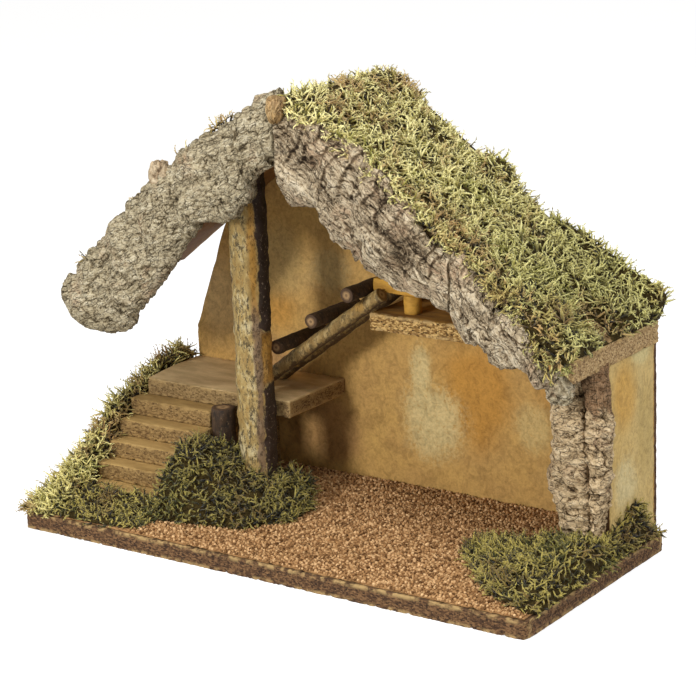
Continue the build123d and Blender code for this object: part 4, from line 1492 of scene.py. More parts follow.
@dataclass(frozen=True)
class Groundwork:
    """Base board with its floor of cork granules.

    Attributes:
        corner: Radius of the base's corners.
        granule: Mean radius of a granule.
        pitch: Distance between granules.
        first: X at which the loose granules start, under the moss beside the stair.
        inside: Distance that they keep from the floor's edge.
    """

    corner: float = 5.0
    granule: float = 1.05
    pitch: float = 2.25
    first: float = -112.0
    inside: float = 0.8

    def build(self) -> None:
        """Makes the base, the sheet under the granules and the granules."""
        board = self.base().shape()
        board.points[:, 2] = np.maximum(board.points[:, 2], 0)
        dress("base_board", board, BASE_BOARD)
        floor = Box.of("granule_floor")
        for part, shape in enumerate(self.scatter(floor)):
            make_piece(f"granule_floor_grains_{part + 1}", shape, GRANULES, "granule_floor")
        make_piece("granule_floor_bed", self.bed(floor), GRANULES, "granule_floor")

    def base(self) -> Plank:
        """Base board with rounded corners."""
        box = Box.of("base_board")
        length = box.x1 - box.x0

        def section(along: Array) -> Array:
            """Corners of the base, drawn in at its rounded ends."""
            near = np.clip(np.minimum(along, length - along), 0, self.corner)
            inset = self.corner - np.sqrt(self.corner ** 2 - (self.corner - near) ** 2)
            return across_x(box.x0 + along, around(box.y0 + inset, box.y1 - inset, box.z0, box.z1))

        spacing = (0.9, 4, 0.9, 6, 1.7)
        return Plank(section, length, Cut.EDGES, spacing, rounding=0.8, edge_wear=0.55, nick=1.0)

    @staticmethod
    def bed(floor: Box) -> Shape:
        """Sheet of settled granules: a thin board with a knobbly top, its height moved by cell noise."""
        gap = 0.2
        length = floor.x1 - floor.x0 - 2 * gap
        shape = Plank(box_section(floor, gap), length, Cut.NONE, (1, 2.6, 1, 12, 2.6), rounding=0.4).shape()
        border, owner = NOISE.cells(shape.points / 2.3)
        shape.values = {"tint": 0.25 + 0.3 * owner}
        top = ease(shape.points[:, 2], floor.z1 - 1.0, floor.z1 - 0.3)
        shape.points[:, 2] += top * (0.7 * ease(border, 0, 0.6) - 0.9)
        return shape

    def scatter(self, floor: Box) -> list[Shape]:
        """Granules on a jittered grid: twenty-sided lumps whose corners are moved at random.

        Args:
            floor: Box of the floor.

        Returns:
            Two shapes that share the granules, with the value tint.
        """
        draws = np.random.default_rng(5)
        golden = (1 + 5 ** 0.5) / 2
        pairs = [(a, b * golden) for b in (1, -1) for a in (-1, 1)]
        corners = unit(np.array([(a, b, 0) for a, b in pairs] + [(0, a, b) for a, b in pairs]
                                + [(b, 0, a) for a, b in pairs]))
        faces = np.array([
            (0, 11, 5), (0, 5, 1), (0, 1, 7), (0, 7, 10), (0, 10, 11), (1, 5, 9), (5, 11, 4), (11, 10, 2),
            (10, 7, 6), (7, 1, 8), (3, 9, 4), (3, 4, 2), (3, 2, 6), (3, 6, 8), (3, 8, 9), (4, 9, 5),
            (2, 4, 11), (6, 2, 10), (8, 6, 7), (9, 8, 1)])
        x, y = np.meshgrid(np.arange(self.first, floor.x1 - self.inside, self.pitch),
                           np.arange(floor.y0 + self.inside, floor.y1 - self.inside, self.pitch))
        middle = np.stack([x.ravel(), y.ravel(), np.full(x.size, floor.z1 - 0.35)], axis=-1)
        middle += draws.normal(size=middle.shape) * np.array([0.55, 0.55, 0.22])
        low, high = np.array([floor.x0, floor.y0]) + 0.6, np.array([floor.x1, floor.y1]) - 0.6
        middle[:, :2] = np.clip(middle[:, :2], low, high)
        count = len(middle)
        size = self.granule * draws.uniform(0.7, 1.3, (count, 1, 1))
        size = size * draws.uniform(0.75, 1.25, (count, 1, 3))
        points = middle[:, None] + corners * size * draws.uniform(0.78, 1.22, (count, 12, 1))
        tint = np.clip(draws.normal(0.5, 0.24, count), 0, 1)
        shapes = []
        for part in np.array_split(np.arange(count), 2):
            step = (np.arange(len(part)) * 12)[:, None, None]
            shapes.append(Shape(points[part].reshape(-1, 3), np.zeros((0, 4), dtype=int),
                                (faces[None] + step).reshape(-1, 3), {"tint": np.repeat(tint[part], 12)}))
        return shapes


@dataclass(frozen=True)
class Stair:
    """Stacked stair boards and the landing, with the landing's eased corner."""

    boards: int = 5
    corner_run: float = 42.5
    corner_setback: float = 6.2

    def build(self) -> None:
        """Makes the boards and the landing."""
        for node in numbered("stair_board", self.boards):
            box = Box.of(node)
            spacing = (0.9, 1.5, 4, 4, 1.0)
            plank = Plank(box_section(box, SEAT), box.x1 - box.x0, Cut.EDGES, spacing, rounding=1.1)
            dress(node, plank.shape(), TREAD_BOARD_PAINTED_SHADE)
        dress("landing_board", self.landing().shape(), CHIPBOARD)

    def landing(self) -> Plank:
        """Landing board."""
        box = Box.of("landing_board")

        def section(along: Array) -> Array:
            """Corners of the landing, set back at its left front corner."""
            front = box.y0 + self.corner_run * np.clip(1 - along / self.corner_setback, 0, 1)
            return across_x(box.x0 + along, around(front, box.y1, box.z0 + SEAT, box.z1))

        return Plank(section, box.x1 - box.x0, Cut.EDGES, (0.9, 1.5, 3, 3, 0.9), rounding=1.1)


@dataclass(frozen=True)
class Walls:
    """Back panel, leaning in on the left above a plumb height, and right wall."""

    plumb_height: float = 111.0
    lean_x: float = -154.6

    def build(self) -> None:
        """Makes the panel and the wall."""
        dress("back_panel", self.panel().shape(), PANEL_PAINT)
        dress("right_wall", self.wall().shape(), WALL_PAINT)

    def panel(self) -> Plank:
        """Panel cut to the gable: its top is the lowest of the leaning edge and the two roofs' undersides."""
        box = Box.of("back_panel")
        lean_top = float(left_top(np.array(self.lean_x))) - SHEET_PLUMB

        def section(along: Array) -> Array:
            """Corners of the panel, its top following the gable."""
            x = box.x0 + along
            lean = self.plumb_height + (x - box.x0) / (self.lean_x - box.x0) * (lean_top - self.plumb_height)
            gable = np.minimum(left_top(x) - SHEET_PLUMB, right_top(x) - BOARD_PLUMB)
            return across_x(x, around(box.y0, box.y1, box.z0, np.minimum(lean, gable) - 0.1))

        return Plank(section, box.x1 - box.x0, Cut.RIM, (2.2, 1.3, 5, 2, 2.6), rounding=0.5, face_wear=0.2,
                     edge_wear=0.5)

    @staticmethod
    def wall() -> Plank:
        """Wall whose top is cut to the roof's slope."""
        box = Box.of("right_wall")
        tops = [right_top(x) - BOARD_PLUMB for x in (box.x0, box.x1)]
        corners = [(box.x0, box.z0), (box.x0, tops[0]), (box.x1, tops[1]), (box.x1, box.z0)]
        return Plank(lambda along: across_y(box.y0 + along, corners), box.y1 - box.y0, Cut.ENDS,
                     (1.6, 1.5, 1.4, 2, 1.4), rounding=0.9, face_wear=0.3)


@dataclass(frozen=True)
class Roof:
    """Right roof board and left roof sheet."""

    def build(self) -> None:
        """Makes both slopes."""
        slope, length = self.slope("roof_board_right", right_top, BOARD_PLUMB)
        plank = Plank(slope, length, Cut.ENDS, (2.6, 1.1, 3.2, 2, 1.7), rounding=1.0, edge_wear=0.6, nick=1.4)
        dress("roof_board_right", plank.shape(), ROOF_BOARD)
        slope, length = self.slope("roof_sheet_left", left_top, SHEET_PLUMB)
        plank = Plank(slope, length, Cut.ENDS, (2.6, 1.1, 3.2, 1.1, 2.2), rounding=0.6)
        dress("roof_sheet_left", plank.shape(), SHEET_PAINT)

    @staticmethod
    def slope(node: str, top: Callable[[Array], Array], thick: float) -> tuple[Section, float]:
        """Section of a slope along Y, its top and its underside between plumb ends, and its length."""
        box = Box.of(node)
        corners = [(box.x0, top(box.x0)), (box.x1, top(box.x1)), (box.x1, top(box.x1) - thick),
                   (box.x0, top(box.x0) - thick)]
        return lambda along: across_y(box.y0 + along, corners), box.y1 - box.y0


@dataclass(frozen=True)
class Loft:
    """Loft shelf with its handrail and stubs."""

    stub_radius: float = 6.5

    def build(self) -> None:
        """Makes the shelf, the rail and the stubs."""
        box = Box.of("loft_shelf")
        plank = Plank(box_section(box, SEAT), box.x1 - box.x0, Cut.EDGES, (0.8, 1.5, 3, 3, 0.9), rounding=1.0)
        dress("loft_shelf", plank.shape(), SHELF_BOARD)
        box = Box.of("loft_handrail")
        plank = Plank(box_section(box), box.x1 - box.x0, Cut.NONE, (0.9, 0.9, 0.9, 0.9, 1.0), rounding=1.2,
                      face_wear=0.3)
        dress("loft_handrail", plank.shape(), YELLOW)
        box = Box.of("loft_balusters")
        y = (box.y0 + box.y1) / 2
        radius = self.stub_radius - 0.3
        stubs = [Branch((x, y, box.z0), (x, y, box.z1), radius, bumps=0.35, spacing=1.0).shape()
                 for x in (box.x0 + self.stub_radius, box.x1 - self.stub_radius)]
        for stub in stubs:
            stub.values["rim"] = 0.5 * stub.values["edge"]
        dress("loft_balusters", Shape.joined(stubs), YELLOW)


@dataclass(frozen=True)
class Timber:
    """Round timbers: front post, landing prop, ladder rails and rungs.

    Attributes:
        ladder_angle: Slope of the ladder's rails.
        bright_side: Angle about the post's axis at which its bare wood faces the front right.
        pole: Radius of the rails and rungs.
        post_radius: Radius of the front post.
        prop_radius: Radius of the landing's prop.
        head_gap: Gap between the post's head and the roof sheet.
        patch_height: Middle of the brushed patch on the post's bark.
        bark_edge: Place across the post at which its bark starts, by height.
        streak_edge: Place across the post at which the brushed streak starts, by height.
    """

    ladder_angle: float = math.radians(35.596)
    bright_side: float = math.radians(-54.35)
    pole: float = 5.3
    post_radius: float = 13.1
    prop_radius: float = 8.4
    head_gap: float = 0.25
    patch_height: float = 123.0
    bark_edge: Outline = (
        (12, 0.42), (100, 0.46), (108, 0.80), (138, 0.78), (148, 0.44), (232, 0.42), (246, 0.2), (272, 0.18))
    streak_edge: Outline = (
        (12, -0.05), (60, 0.0), (110, 0.12), (150, 0.05), (190, -0.05), (235, 0.0), (252, -0.9))

    def build(self) -> None:
        """Makes every round timber."""
        dress("front_post", self.post(), POST_LOG)
        box = Box.of("landing_prop")
        x, y = (box.x0 + box.x1) / 2, (box.y0 + box.y1) / 2
        prop = Branch((x, y, box.z0), (x, y, box.z1), self.prop_radius, bumps=0.7).shape()
        dress("landing_prop", self.barked(prop, 0.1), DARK_LOG)
        for node in ("ladder_rail_front", "ladder_rail_back"):
            dress(node, self.rail(node), LADDER_LOG)
        for node in numbered("ladder_rung", 3):
            box = Box.of(node)
            x, z = (box.x0 + box.x1) / 2, (box.z0 + box.z1) / 2
            rung = Branch((x, box.y0, z), (x, box.y1, z), self.pole, bumps=0.4, spacing=1.1).shape()
            dress(node, self.barked(rung, 0.0), DARK_LOG)

    def post(self) -> Shape:
        """Front post: head cut to the roof, leftover bark on its right and a brushed streak beside it."""
        box = Box.of("front_post")
        x, y = (box.x0 + box.x1) / 2, (box.y0 + box.y1) / 2
        head = float(left_top(np.array(x))) - (SHEET_PLUMB + self.head_gap)

        def cut(offsets: Array) -> Array:
            """Length of the post at each offset from its axis."""
            return head + math.tan(LEFT_PITCH) * offsets[..., 0] - box.z0

        log = Branch((x, y, box.z0), (x, y, head), self.post_radius, high=cut, bumps=0.9, spacing=1.25)
        shape = log.shape()
        z = shape.values["height"] + box.z0
        turn = shape.values["angle"] - self.bright_side
        across = np.where(np.cos(turn) > 0, np.sin(turn), 1.6 - np.abs(np.sin(turn)))
        across = across + 0.06 * NOISE.layered(shape.points / 9, 3)
        bark = ease(across - line_through(self.bark_edge, z), -0.22, 0.22)
        streak = ease(across - line_through(self.streak_edge, z), -0.3, 0.25)
        patch = ease(19 - np.abs(z - self.patch_height), -4, 5) * ease(across, 0.42, 0.52)
        bark_left = np.clip(bark - patch, 0, 1)
        shape.values["bark"] = bark_left
        shape.values["streak"] = np.maximum(0.9 * streak * (1 - bark), patch)
        shape.values["low"] = ease(-z, -176, -146) * (1 - patch)
        flaky = 0.6 + 0.5 * NOISE.layered(shape.points / 3, 2)
        return shape.moved(0.6 * bark_left * flaky * (1 - shape.values["edge"]))

    def rail(self, node: str) -> Shape:
        """Ladder rail with a level foot, its underside darkened with painted shade."""
        box = Box.of(node)
        rise, run = math.sin(self.ladder_angle), math.cos(self.ladder_angle)
        y = (box.y0 + box.y1) / 2
        end = (box.x1 - self.pole * rise, y, box.z1 - self.pole * run)
        length = (end[2] - box.z0) / rise
        start = (end[0] - length * run, y, box.z0)

        def foot(offsets: Array) -> Array:
            """Distance along the axis at which an offset from it reaches the landing."""
            return -offsets[..., 2] / rise

        shape = Branch(start, end, self.pole - 0.15, low=foot, bumps=0.45, spacing=1.1).shape()
        under = -shape.normals()[:, 2]
        # Painted shade: the faces that look down take the darker bark colours.
        shape.values["bark"] = 0.7 * ease(under, -0.2, 0.9) * (1 - shape.values["edge"])
        shape.values["streak"] = 0.6 * ease(NOISE.layered(shape.points / 14, 2), -0.2, 0.6)
        shape.values["low"] = 0 * under
        return shape

    @staticmethod
    def barked(shape: Shape, bare: float) -> Shape:
        """Branch mostly in its bark, with bare places where the noise is below a level."""
        cloud = NOISE.layered(shape.points / 9, 3)
        shape.values["bark"] = 1 - 0.4 * ease(bare - cloud, 0.2, 0.6)
        shape.values["streak"] = ease(cloud, 0.1, 0.5)
        shape.values["low"] = 0 * cloud
        return shape


@dataclass(frozen=True)
class BarkWork:
    """Cork bark on the front: three fascia slabs, two upright lobes, a knob and two chips.

    Outlines of the slabs are (along, across) corners, those of the lobes (height, x) corners.
    """

    front: float = -40.0
    back: float = -22.3
    left_upper: Outline = (
        (-4, 6), (18, 12), (32, 16), (43, 13), (60, 16), (78, 21), (102, 22), (121, 22), (150, 21), (162, 21),
        (167, 17), (184, 20), (200, 16), (215, 15), (234, 12), (242, 9), (254, 12), (263, 5), (266, -3))
    left_lower: Outline = (
        (8, -38), (40, -28), (57, -27), (63, -29), (68, -36), (84, -38), (100, -37), (106, -33), (114, -26),
        (120, -25), (142, -32), (161, -36), (176, -39), (189, -40), (200, -43), (213, -45), (221, -49),
        (232, -47), (241, -42), (249, -38), (258, -28), (264, -16), (266, -5))
    upper_upper: Outline = (
        (-6, -5), (6, -8), (18, -3), (38, 6), (51, 5), (62, 10), (74, 6), (91, 7), (102, 5), (117, 6),
        (122, 2), (131, -4), (150, -2), (170, 3))
    upper_lower: Outline = (
        (0, -45), (18, -51), (32, -53), (45, -58), (51, -54), (60, -46), (69, -47), (72, -52), (87, -55),
        (115, -54), (124, -51), (139, -48), (147, -44), (159, -37), (190, -30))
    lower_upper: Outline = (
        (140, -1), (151, 4), (174, 3), (185, 2), (197, -2), (204, -4), (217, 3), (225, 0), (232, -3),
        (240, -8), (259, -20))
    lower_lower: Outline = (
        (150, -36), (165, -38), (178, -35), (195, -40), (201, -39), (213, -34), (221, -40), (228, -36),
        (238, -25), (259, -28))
    lobe_left: Outline = (
        (12, 172), (32, 176), (43, 171.8), (60, 166), (73, 163), (96, 170), (105, 167.4), (122, 168.5),
        (176, 170))
    lobe_groove: Outline = ((12, 198), (39, 197.5), (60, 196.5), (93, 194), (127, 192), (176, 190))
    lobe_right: Outline = (
        (12, 202), (42, 204), (53, 208.4), (72, 209.4), (93, 210), (114, 210), (129, 208), (160, 206))

    def build(self) -> None:
        """Makes every piece of bark."""
        self.fascias()
        self.lobes()
        lump = blob((180.9, 3.4, 134.6), (10.0, 4.4, 12.0), (7, 7, 7), 0.5, power=2.6, flow=0.5)
        dress("bark_knob", lump, BARK)
        flake = blob((-114.5, -31.0, 256.5), (8.2, 4.6, 10.0), (8, 8, 8), 0.8, power=4.5, taper=-0.3)
        dress("bark_chip_left", flake, TAN_CORK)
        flake = blob((-9.0, -34.5, 308.0), (5.0, 7.5, 9.8), (2.4, 2.4, 14), 0.5, power=3.2, taper=0.4)
        dress("bark_chip_apex", flake, GOLD_CORK)

    def fascias(self) -> None:
        """Makes the slabs along the roof's front."""
        slabs = {
            "bark_fascia_left": BarkSlab(-1, LEFT_PITCH, self.left_upper, self.left_lower, cut_start=-10.5),
            "bark_fascia_right_upper": BarkSlab(
                1, RIGHT_PITCH, self.upper_upper, self.upper_lower, cut_start=-9.5, cut_end=122.9,
                flake=(26.0, 4.0, 5.0), bend=1.4, turn=0.0, rough=0.9, wrinkle=1.2, eye=(128.0, -20.0, 22.0)),
            "bark_fascia_right_lower": BarkSlab(
                1, RIGHT_PITCH, self.lower_upper, self.lower_lower, cut_start=123.9,
                flake=(13.0, 4.2, 5.0), bend=2.0, turn=-0.2, rough=0.8),
        }
        for (node, slab), finish in zip(slabs.items(), (BARK, BROWN_BARK, BROWN_BARK)):
            dress(node, slab.shape(self.front, self.back), finish)

    def lobes(self) -> None:
        """Makes the two lobes of the bark post."""
        inner, outer = Box.of("bark_post_inner"), Box.of("bark_post_outer")
        reach = (inner.z0 + 0.3, inner.z1 - 2)
        lobe = BarkColumn(self.lobe_left, self.lobe_groove, (inner.y0, inner.y1), reach, 142.0)
        dress("bark_post_inner", lobe.shape(), PALE_BARK)
        lobe = BarkColumn(self.lobe_groove, self.lobe_right, (outer.y0 + 1.5, outer.y1),
                          (outer.z0 + 0.3, outer.z1 - 1), 118.0)
        dress("bark_post_outer", lobe.shape(), PALE_BARK)


@dataclass(frozen=True)
class MossWork:
    """Moss on both roofs, beside the stair, round the post's foot, on the corner and along the wall's foot.

    Attributes:
        floor: Height of the ground.
        ridge: Heights of the tufts along the right roof's back edge, by distance on X from the ridge.
        fringe: Reach of the moss that hangs over the right bark, by distance down the slope.
        fringe_count: Number of its strands.
        sprig_tufts: Place along and across the left slope, reach and number of strands of each loose tuft.
    """

    floor: float = 14.4
    ridge: Outline = (
        (0, 5), (7, 6.3), (18, 6.2), (28, 4.5), (42, 0.6), (54, 2.4), (72, 2.0), (79, 9), (87, 14.8),
        (96, 12), (101, 7.1), (113, 3.6), (125, 2.9), (136, 9.5), (152, 15.3), (167, 16.6), (182, 19),
        (197, 22.5), (208, 24.5), (217, 24))
    fringe: Outline = ((0, 11), (26, 9), (44, 3), (200, 3), (226, 10), (246, 20), (262, 18))
    fringe_count: int = 1150
    sprig_tufts: tuple[tuple[int, int, int, int], ...] = (
        (62, 19, 7, 26), (53, 16, 4, 9), (100, 21, 4, 5), (154, 20, 3, 9), (187, 18, 2, 5), (222, 12, 4, 12))

    def build(self) -> None:
        """Makes the cushions and their strands."""
        self.grow("moss_roof_right", self.right_roof(), Strands(8900), ROOF_MOSS, 4, 1)
        self.grow("moss_roof_left", self.left_roof(), Strands(3000), ROOF_MOSS, 2, 2)
        draws = np.random.default_rng(8)
        tufts = Strands(0, (5, 12), (2, 60), 0.5).shape(self.sprigs(draws), draws)
        make_piece("moss_roof_left_sprigs", tufts, ROOF_MOSS, "moss_roof_left")
        tufts = Strands(0, (6, 13), (-10, 60)).shape(self.tongue(draws), draws)
        make_piece("moss_roof_right_tongue", tufts, ROOF_MOSS, "moss_roof_right")
        self.grow("moss_stair_bank", self.bank(), Strands(3300, (6, 16), (4, 66)), BANK_MOSS, 1, 3)
        self.grow("moss_stair_toe", self.toe(), Strands(1200, (5, 11), (5, 50)), GROUND_MOSS, 1, 4)
        self.grow("moss_post_heap", self.heap(), Strands(2500, (5, 12), (5, 55)), HEAP_MOSS_PAINTED_SHADE, 1, 5)
        self.grow("moss_corner", self.corner(), Strands(2350, (5, 12), (5, 50)), GROUND_MOSS, 1, 6)
        self.grow("moss_wall_foot", self.foot(), Strands(640, (5, 11), (5, 55)), GROUND_MOSS, 1, 7)

    @staticmethod
    def grow(node: str, mat: Mat, kind: Strands, finish: Moss, parts: int, seed: int) -> None:
        """Makes the cushion of one patch and its strands, in several pieces.

        Args:
            node: CAD node of the patch.
            mat: Its cushion.
            kind: How its strands grow.
            finish: Finish of the strands.
            parts: Number of pieces that share the strands.
            seed: Seed of the random draws.
        """
        draws = np.random.default_rng(seed)
        # Dark cushion under the strands, partly painted shade in the gaps between them.
        make_piece(f"{node}_mat", mat.shape(), MOSS_MAT_PAINTED_SHADE, node)
        roots = mat.roots(kind.count, kind.bare, draws)
        for number in range(parts):
            shape = kind.shape(roots.part(number, parts), draws)
            make_piece(f"{node}_strands_{number + 1}", shape, finish, node)

    @staticmethod
    def rim(along: Array, across: Array, first: float, second: float) -> Array:
        """Rounding of a cushion's height towards its four sides, over shares of its length and width."""
        ends = np.clip(np.minimum(along, 1 - along) / first, 0, 1)
        sides = np.clip(np.minimum(across, 1 - across) / second, 0, 1)
        return np.sqrt(1 - (1 - ends) ** 2) * np.sqrt(1 - (1 - sides) ** 2)

    def right_roof(self) -> Mat:
        """Cushion on the right roof, with the tufts along its back edge."""
        cos, sin = math.cos(RIGHT_PITCH), math.sin(RIGHT_PITCH)
        start, length, back = 1, 260, 94.5
        hole, hole_reach = (247, 27), (24, 14)
        front_edge = ((0, -23.5), (200, -23.5), (226, -33), (261, -35))
        dry_edge = ((30, -30), (60, -16), (100, -14), (140, -8), (175, -10), (205, -22), (240, -30))

        def spread(along: Array, across: Array) -> tuple[Array, Array]:
            """Distance down the slope and place on Y, with a tongue over the bark's lower end."""
            reach = start + length * along
            front = line_through(front_edge, reach)
            return reach, front + (back - front) * across

        def place(along: Array, across: Array, height: Array) -> Array:
            """Points over the slope."""
            reach, y = spread(along, across)
            x = RIDGE_X + reach * cos + height * sin
            return np.stack([x, y, RIDGE_Z - reach * sin + height * cos], axis=-1)

        def hollow(reach: Array, y: Array) -> Array:
            """1 in the hole near the eave, falling off around it."""
            return np.exp(-((reach - hole[0]) / hole_reach[0]) ** 2 - ((y - hole[1]) / hole_reach[1]) ** 2)

        def height(along: Array, across: Array) -> Array:
            """Thickness over the slope."""
            reach, y = spread(along, across)
            middle = 5.0 + 2.6 * NOISE.layered(plan(reach, y, 0) / 26, 2) + 4.5 * ease(reach, 120, 240)
            tuft = line_through([(x / cos, h) for x, h in self.ridge], reach) - 2.0
            thick = middle + (tuft - middle) * ease(y, 72, 92)
            sunk = np.clip(1 - 1.2 * hollow(reach, y), 0.02, 1)
            return np.maximum(thick, 0.2) * self.rim(along, across, 0.03, 0.05) * sunk

        def dead(along: Array, across: Array) -> Array:
            """Dry brown moss: a ragged band along the bark, the rim of the hole, and a few patches."""
            reach, y = spread(along, across)
            spot = plan(reach, y, 77)
            ragged = 9 * NOISE.layered(spot / 11, 2)
            band = ease(line_through(dry_edge, reach) - y + ragged, -5, 6)
            rim = ease(1.6 * hollow(reach - 5, y) + 0.03 * ragged, 0.25, 0.8)
            patch = ease(NOISE.layered(spot / 22 + 5, 3), 0.6, 0.95)
            return 0.8 * np.maximum(np.maximum(band, rim), patch)

        return Mat(place, height, 150, 80, dead, 0.9)

    def left_roof(self) -> Mat:
        """Cushion on the left roof."""
        cos, sin = math.cos(LEFT_PITCH), math.sin(LEFT_PITCH)
        length, front, width = 246, -21.5, 116

        def place(along: Array, across: Array, height: Array) -> Array:
            """Points over the slope."""
            reach = length * along
            x = RIDGE_X - reach * cos - height * sin
            return np.stack([x, front + width * across, RIDGE_Z - reach * sin + height * cos], axis=-1)

        def height(along: Array, across: Array) -> Array:
            """Thickness over the slope."""
            swell = 4.2 + 2.4 * NOISE.layered(plan(length * along, width * across, 50) / 26, 2)
            return np.maximum(swell, 0.8) * self.rim(along, across, 0.03, 0.05)

        return Mat(place, height, 130, 70)

    def sprigs(self, draws: np.random.Generator) -> Roots:
        """Roots of the loose tufts along the left bark's upper edge."""
        centre = np.concatenate([np.tile((along, across, reach), (count, 1))
                                 for along, across, reach, count in self.sprig_tufts])
        count = len(centre)
        along = centre[:, 0] + centre[:, 2] * draws.normal(0, 0.6, count)
        depth = draws.uniform(-29, -23, count)
        points = BarkSlab(-1, LEFT_PITCH, (), ()).place(along, centre[:, 1] - 1.5, depth)
        up = np.tile(np.array([-math.sin(LEFT_PITCH), 0.0, math.cos(LEFT_PITCH)]), (count, 1))
        return Roots(points, up, up, draws.uniform(0.3, 0.9, count), draws.uniform(0.7, 1.1, count))

    def tongue(self, draws: np.random.Generator) -> Roots:
        """Roots of the moss that hangs over the right bark's upper edge, most at its two ends."""
        count = self.fringe_count
        along = draws.uniform(0, self.fringe[-1][0], count)
        drop = line_through(self.fringe, along) * draws.random(count)
        points = BarkSlab(1, RIGHT_PITCH, (), ()).place(along, 4 - drop, -23.5 - 2.2 * np.sqrt(drop))
        up = np.tile(unit(np.array([0.35, -0.75, 0.55])), (count, 1))
        return Roots(points, up, up, draws.uniform(0, 0.6, count) ** 2, draws.uniform(0.7, 1.1, count))

    def bank(self) -> Mat:
        """Bank that climbs beside the stair."""
        crest = ((-97, 15), (-75, 25), (-47, 42), (-35, 52), (-18, 65), (-5, 76), (18, 84), (43, 95),
                 (73, 103), (92, 100))
        left, width, front, length = -210.5, 24.5, -91, 180

        def place(along: Array, across: Array, height: Array) -> Array:
            """Points over the base's left edge."""
            x, y = left + width * across, front + length * along
            return np.stack([x, y, self.floor + height], axis=-1)

        def height(along: Array, across: Array) -> Array:
            """Height over the base."""
            y = front + length * along
            top = line_through(crest, y) - self.floor - 2
            outside = np.clip(1 - np.clip(1 - across, 0, 1) ** 2.4, 0, 1) ** 0.6
            swell = top * (outside * (1 - 0.34 * ease(across, 0.62, 1.0)))
            swell = swell + 3 * NOISE.layered(plan(23.5 * across, y, 90) / 12, 2)
            return np.maximum(swell, 0.3) * self.rim(along, 0 * across + 0.5, 0.02, 0.1)

        def dead(along: Array, across: Array) -> Array:
            """Dry brown moss in patches on the stair's side."""
            spot = plan(24 * across, length * along, 33)
            return 0.85 * ease(NOISE.layered(spot / 16, 2) + across, 0.75, 1.15)

        return Mat(place, height, 120, 40, dead)

    def toe(self) -> Mat:
        """Low cushion in front of the bottom step."""
        left, length, front, width = -196, 88, -91, 46

        def place(along: Array, across: Array, height: Array) -> Array:
            """Points over the base in front of the stair."""
            y = front + width * across + 6 * (1 - across) * ease(along, 0.5, 1)
            return np.stack([left + length * along, y, self.floor + height], axis=-1)

        def height(along: Array, across: Array) -> Array:
            """Height over the base."""
            lumps = NOISE.layered(plan(length * along, width * across, 130) / 12, 2)
            level = np.maximum(2.5 + 9.5 * across ** 1.3 + 2.5 * lumps, 0.3)
            return level * self.rim(along, across, 0.05, 0.12)

        return Mat(place, height, 60, 34)

    def heap(self) -> Mat:
        """Heap between the stair and the foot of the front post."""
        front = ((-113, -64), (-90, -62), (-71, -57), (-43, -51), (-30, -30), (-24, -12))
        back = ((-113, 8), (-95, 12), (-80, 18), (-58, 36), (-45, 38), (-32, 16), (-24, 2))
        crest = ((-113, 46), (-100, 45), (-84, 37), (-69, 26), (-43, 16), (-32, 9), (-24, 3))
        left, length = -112.5, 88.5

        def place(along: Array, across: Array, height: Array) -> Array:
            """Points over the floor right of the stair."""
            x = left + length * along
            first, last = line_through(front, x), line_through(back, x)
            return np.stack([x, first + (last - first) * across, self.floor + height], axis=-1)

        def height(along: Array, across: Array) -> Array:
            """Height over the floor."""
            x = left + length * along
            hump = np.clip(1 - np.abs(across / 0.62 - 1) ** 2.2, 0, 1) ** 0.8
            lumps = 3 * NOISE.layered(plan(x, 90 * across, 170) / 12, 2) * hump ** 0.3
            return np.maximum(line_through(crest, x) * hump + lumps, 0.2)

        return Mat(place, height, 70, 70)

    def corner(self) -> Mat:
        """Heap on the right front corner."""
        front = ((112, -7), (135, -34), (157, -60), (181, -76), (205, -84), (214, -78))
        crest = ((112, 2), (140, 8), (165, 14), (190, 20), (205, 17), (214, 8))
        left, length, back = 113, 99, 7

        def place(along: Array, across: Array, height: Array) -> Array:
            """Points over the corner."""
            x = left + length * along
            first = line_through(front, x)
            return np.stack([x, first + (back - first) * across, self.floor + height], axis=-1)

        def height(along: Array, across: Array) -> Array:
            """Height over the floor."""
            x = left + length * along
            lumps = NOISE.layered(plan(x, 90 * across, 210) / 12, 2)
            rise = line_through(crest, x) * np.clip(across, 0, 1) ** 0.75 + 2.5 * lumps + 2
            return np.maximum(rise, 0.2) * self.rim(along, 0.5 + 0 * across, 0.06, 0.1)

        return Mat(place, height, 70, 70)

    def foot(self) -> Mat:
        """Strip along the foot of the right wall."""
        crest = ((0, 34), (26, 33), (46, 39), (60, 48), (75, 34), (82, 19), (92, 16))
        left, width, front, length, crest_length = 203.6, 6.5, 2, 86, 89

        def place(along: Array, across: Array, height: Array) -> Array:
            """Points over the base's right edge."""
            x, y = left + width * across, front + length * along
            return np.stack([x, y, self.floor + height], axis=-1)

        def height(along: Array, across: Array) -> Array:
            """Height over the base."""
            y = front + crest_length * along
            fall = np.clip(1 - np.clip(across, 0, 1) ** 2.2, 0, 1)
            lumps = 2 * NOISE.layered(plan(across * 9, y, 250) / 10, 2)
            return np.maximum((line_through(crest, y) - self.floor - 3) * fall + lumps, 0.2)

        return Mat(place, height, 80, 20)


class Light(Enum):
    """Soft lamps: azimuth and height in degrees, distance and width in metres, power in watts."""

    KEY = (-9.0, 16.0, 1.6, 0.26, 15.0)
    FILL = (86.0, 32.0, 1.6, 1.2, 10.0)
    TOP = (30.0, 68.0, 1.5, 0.5, 11.0)


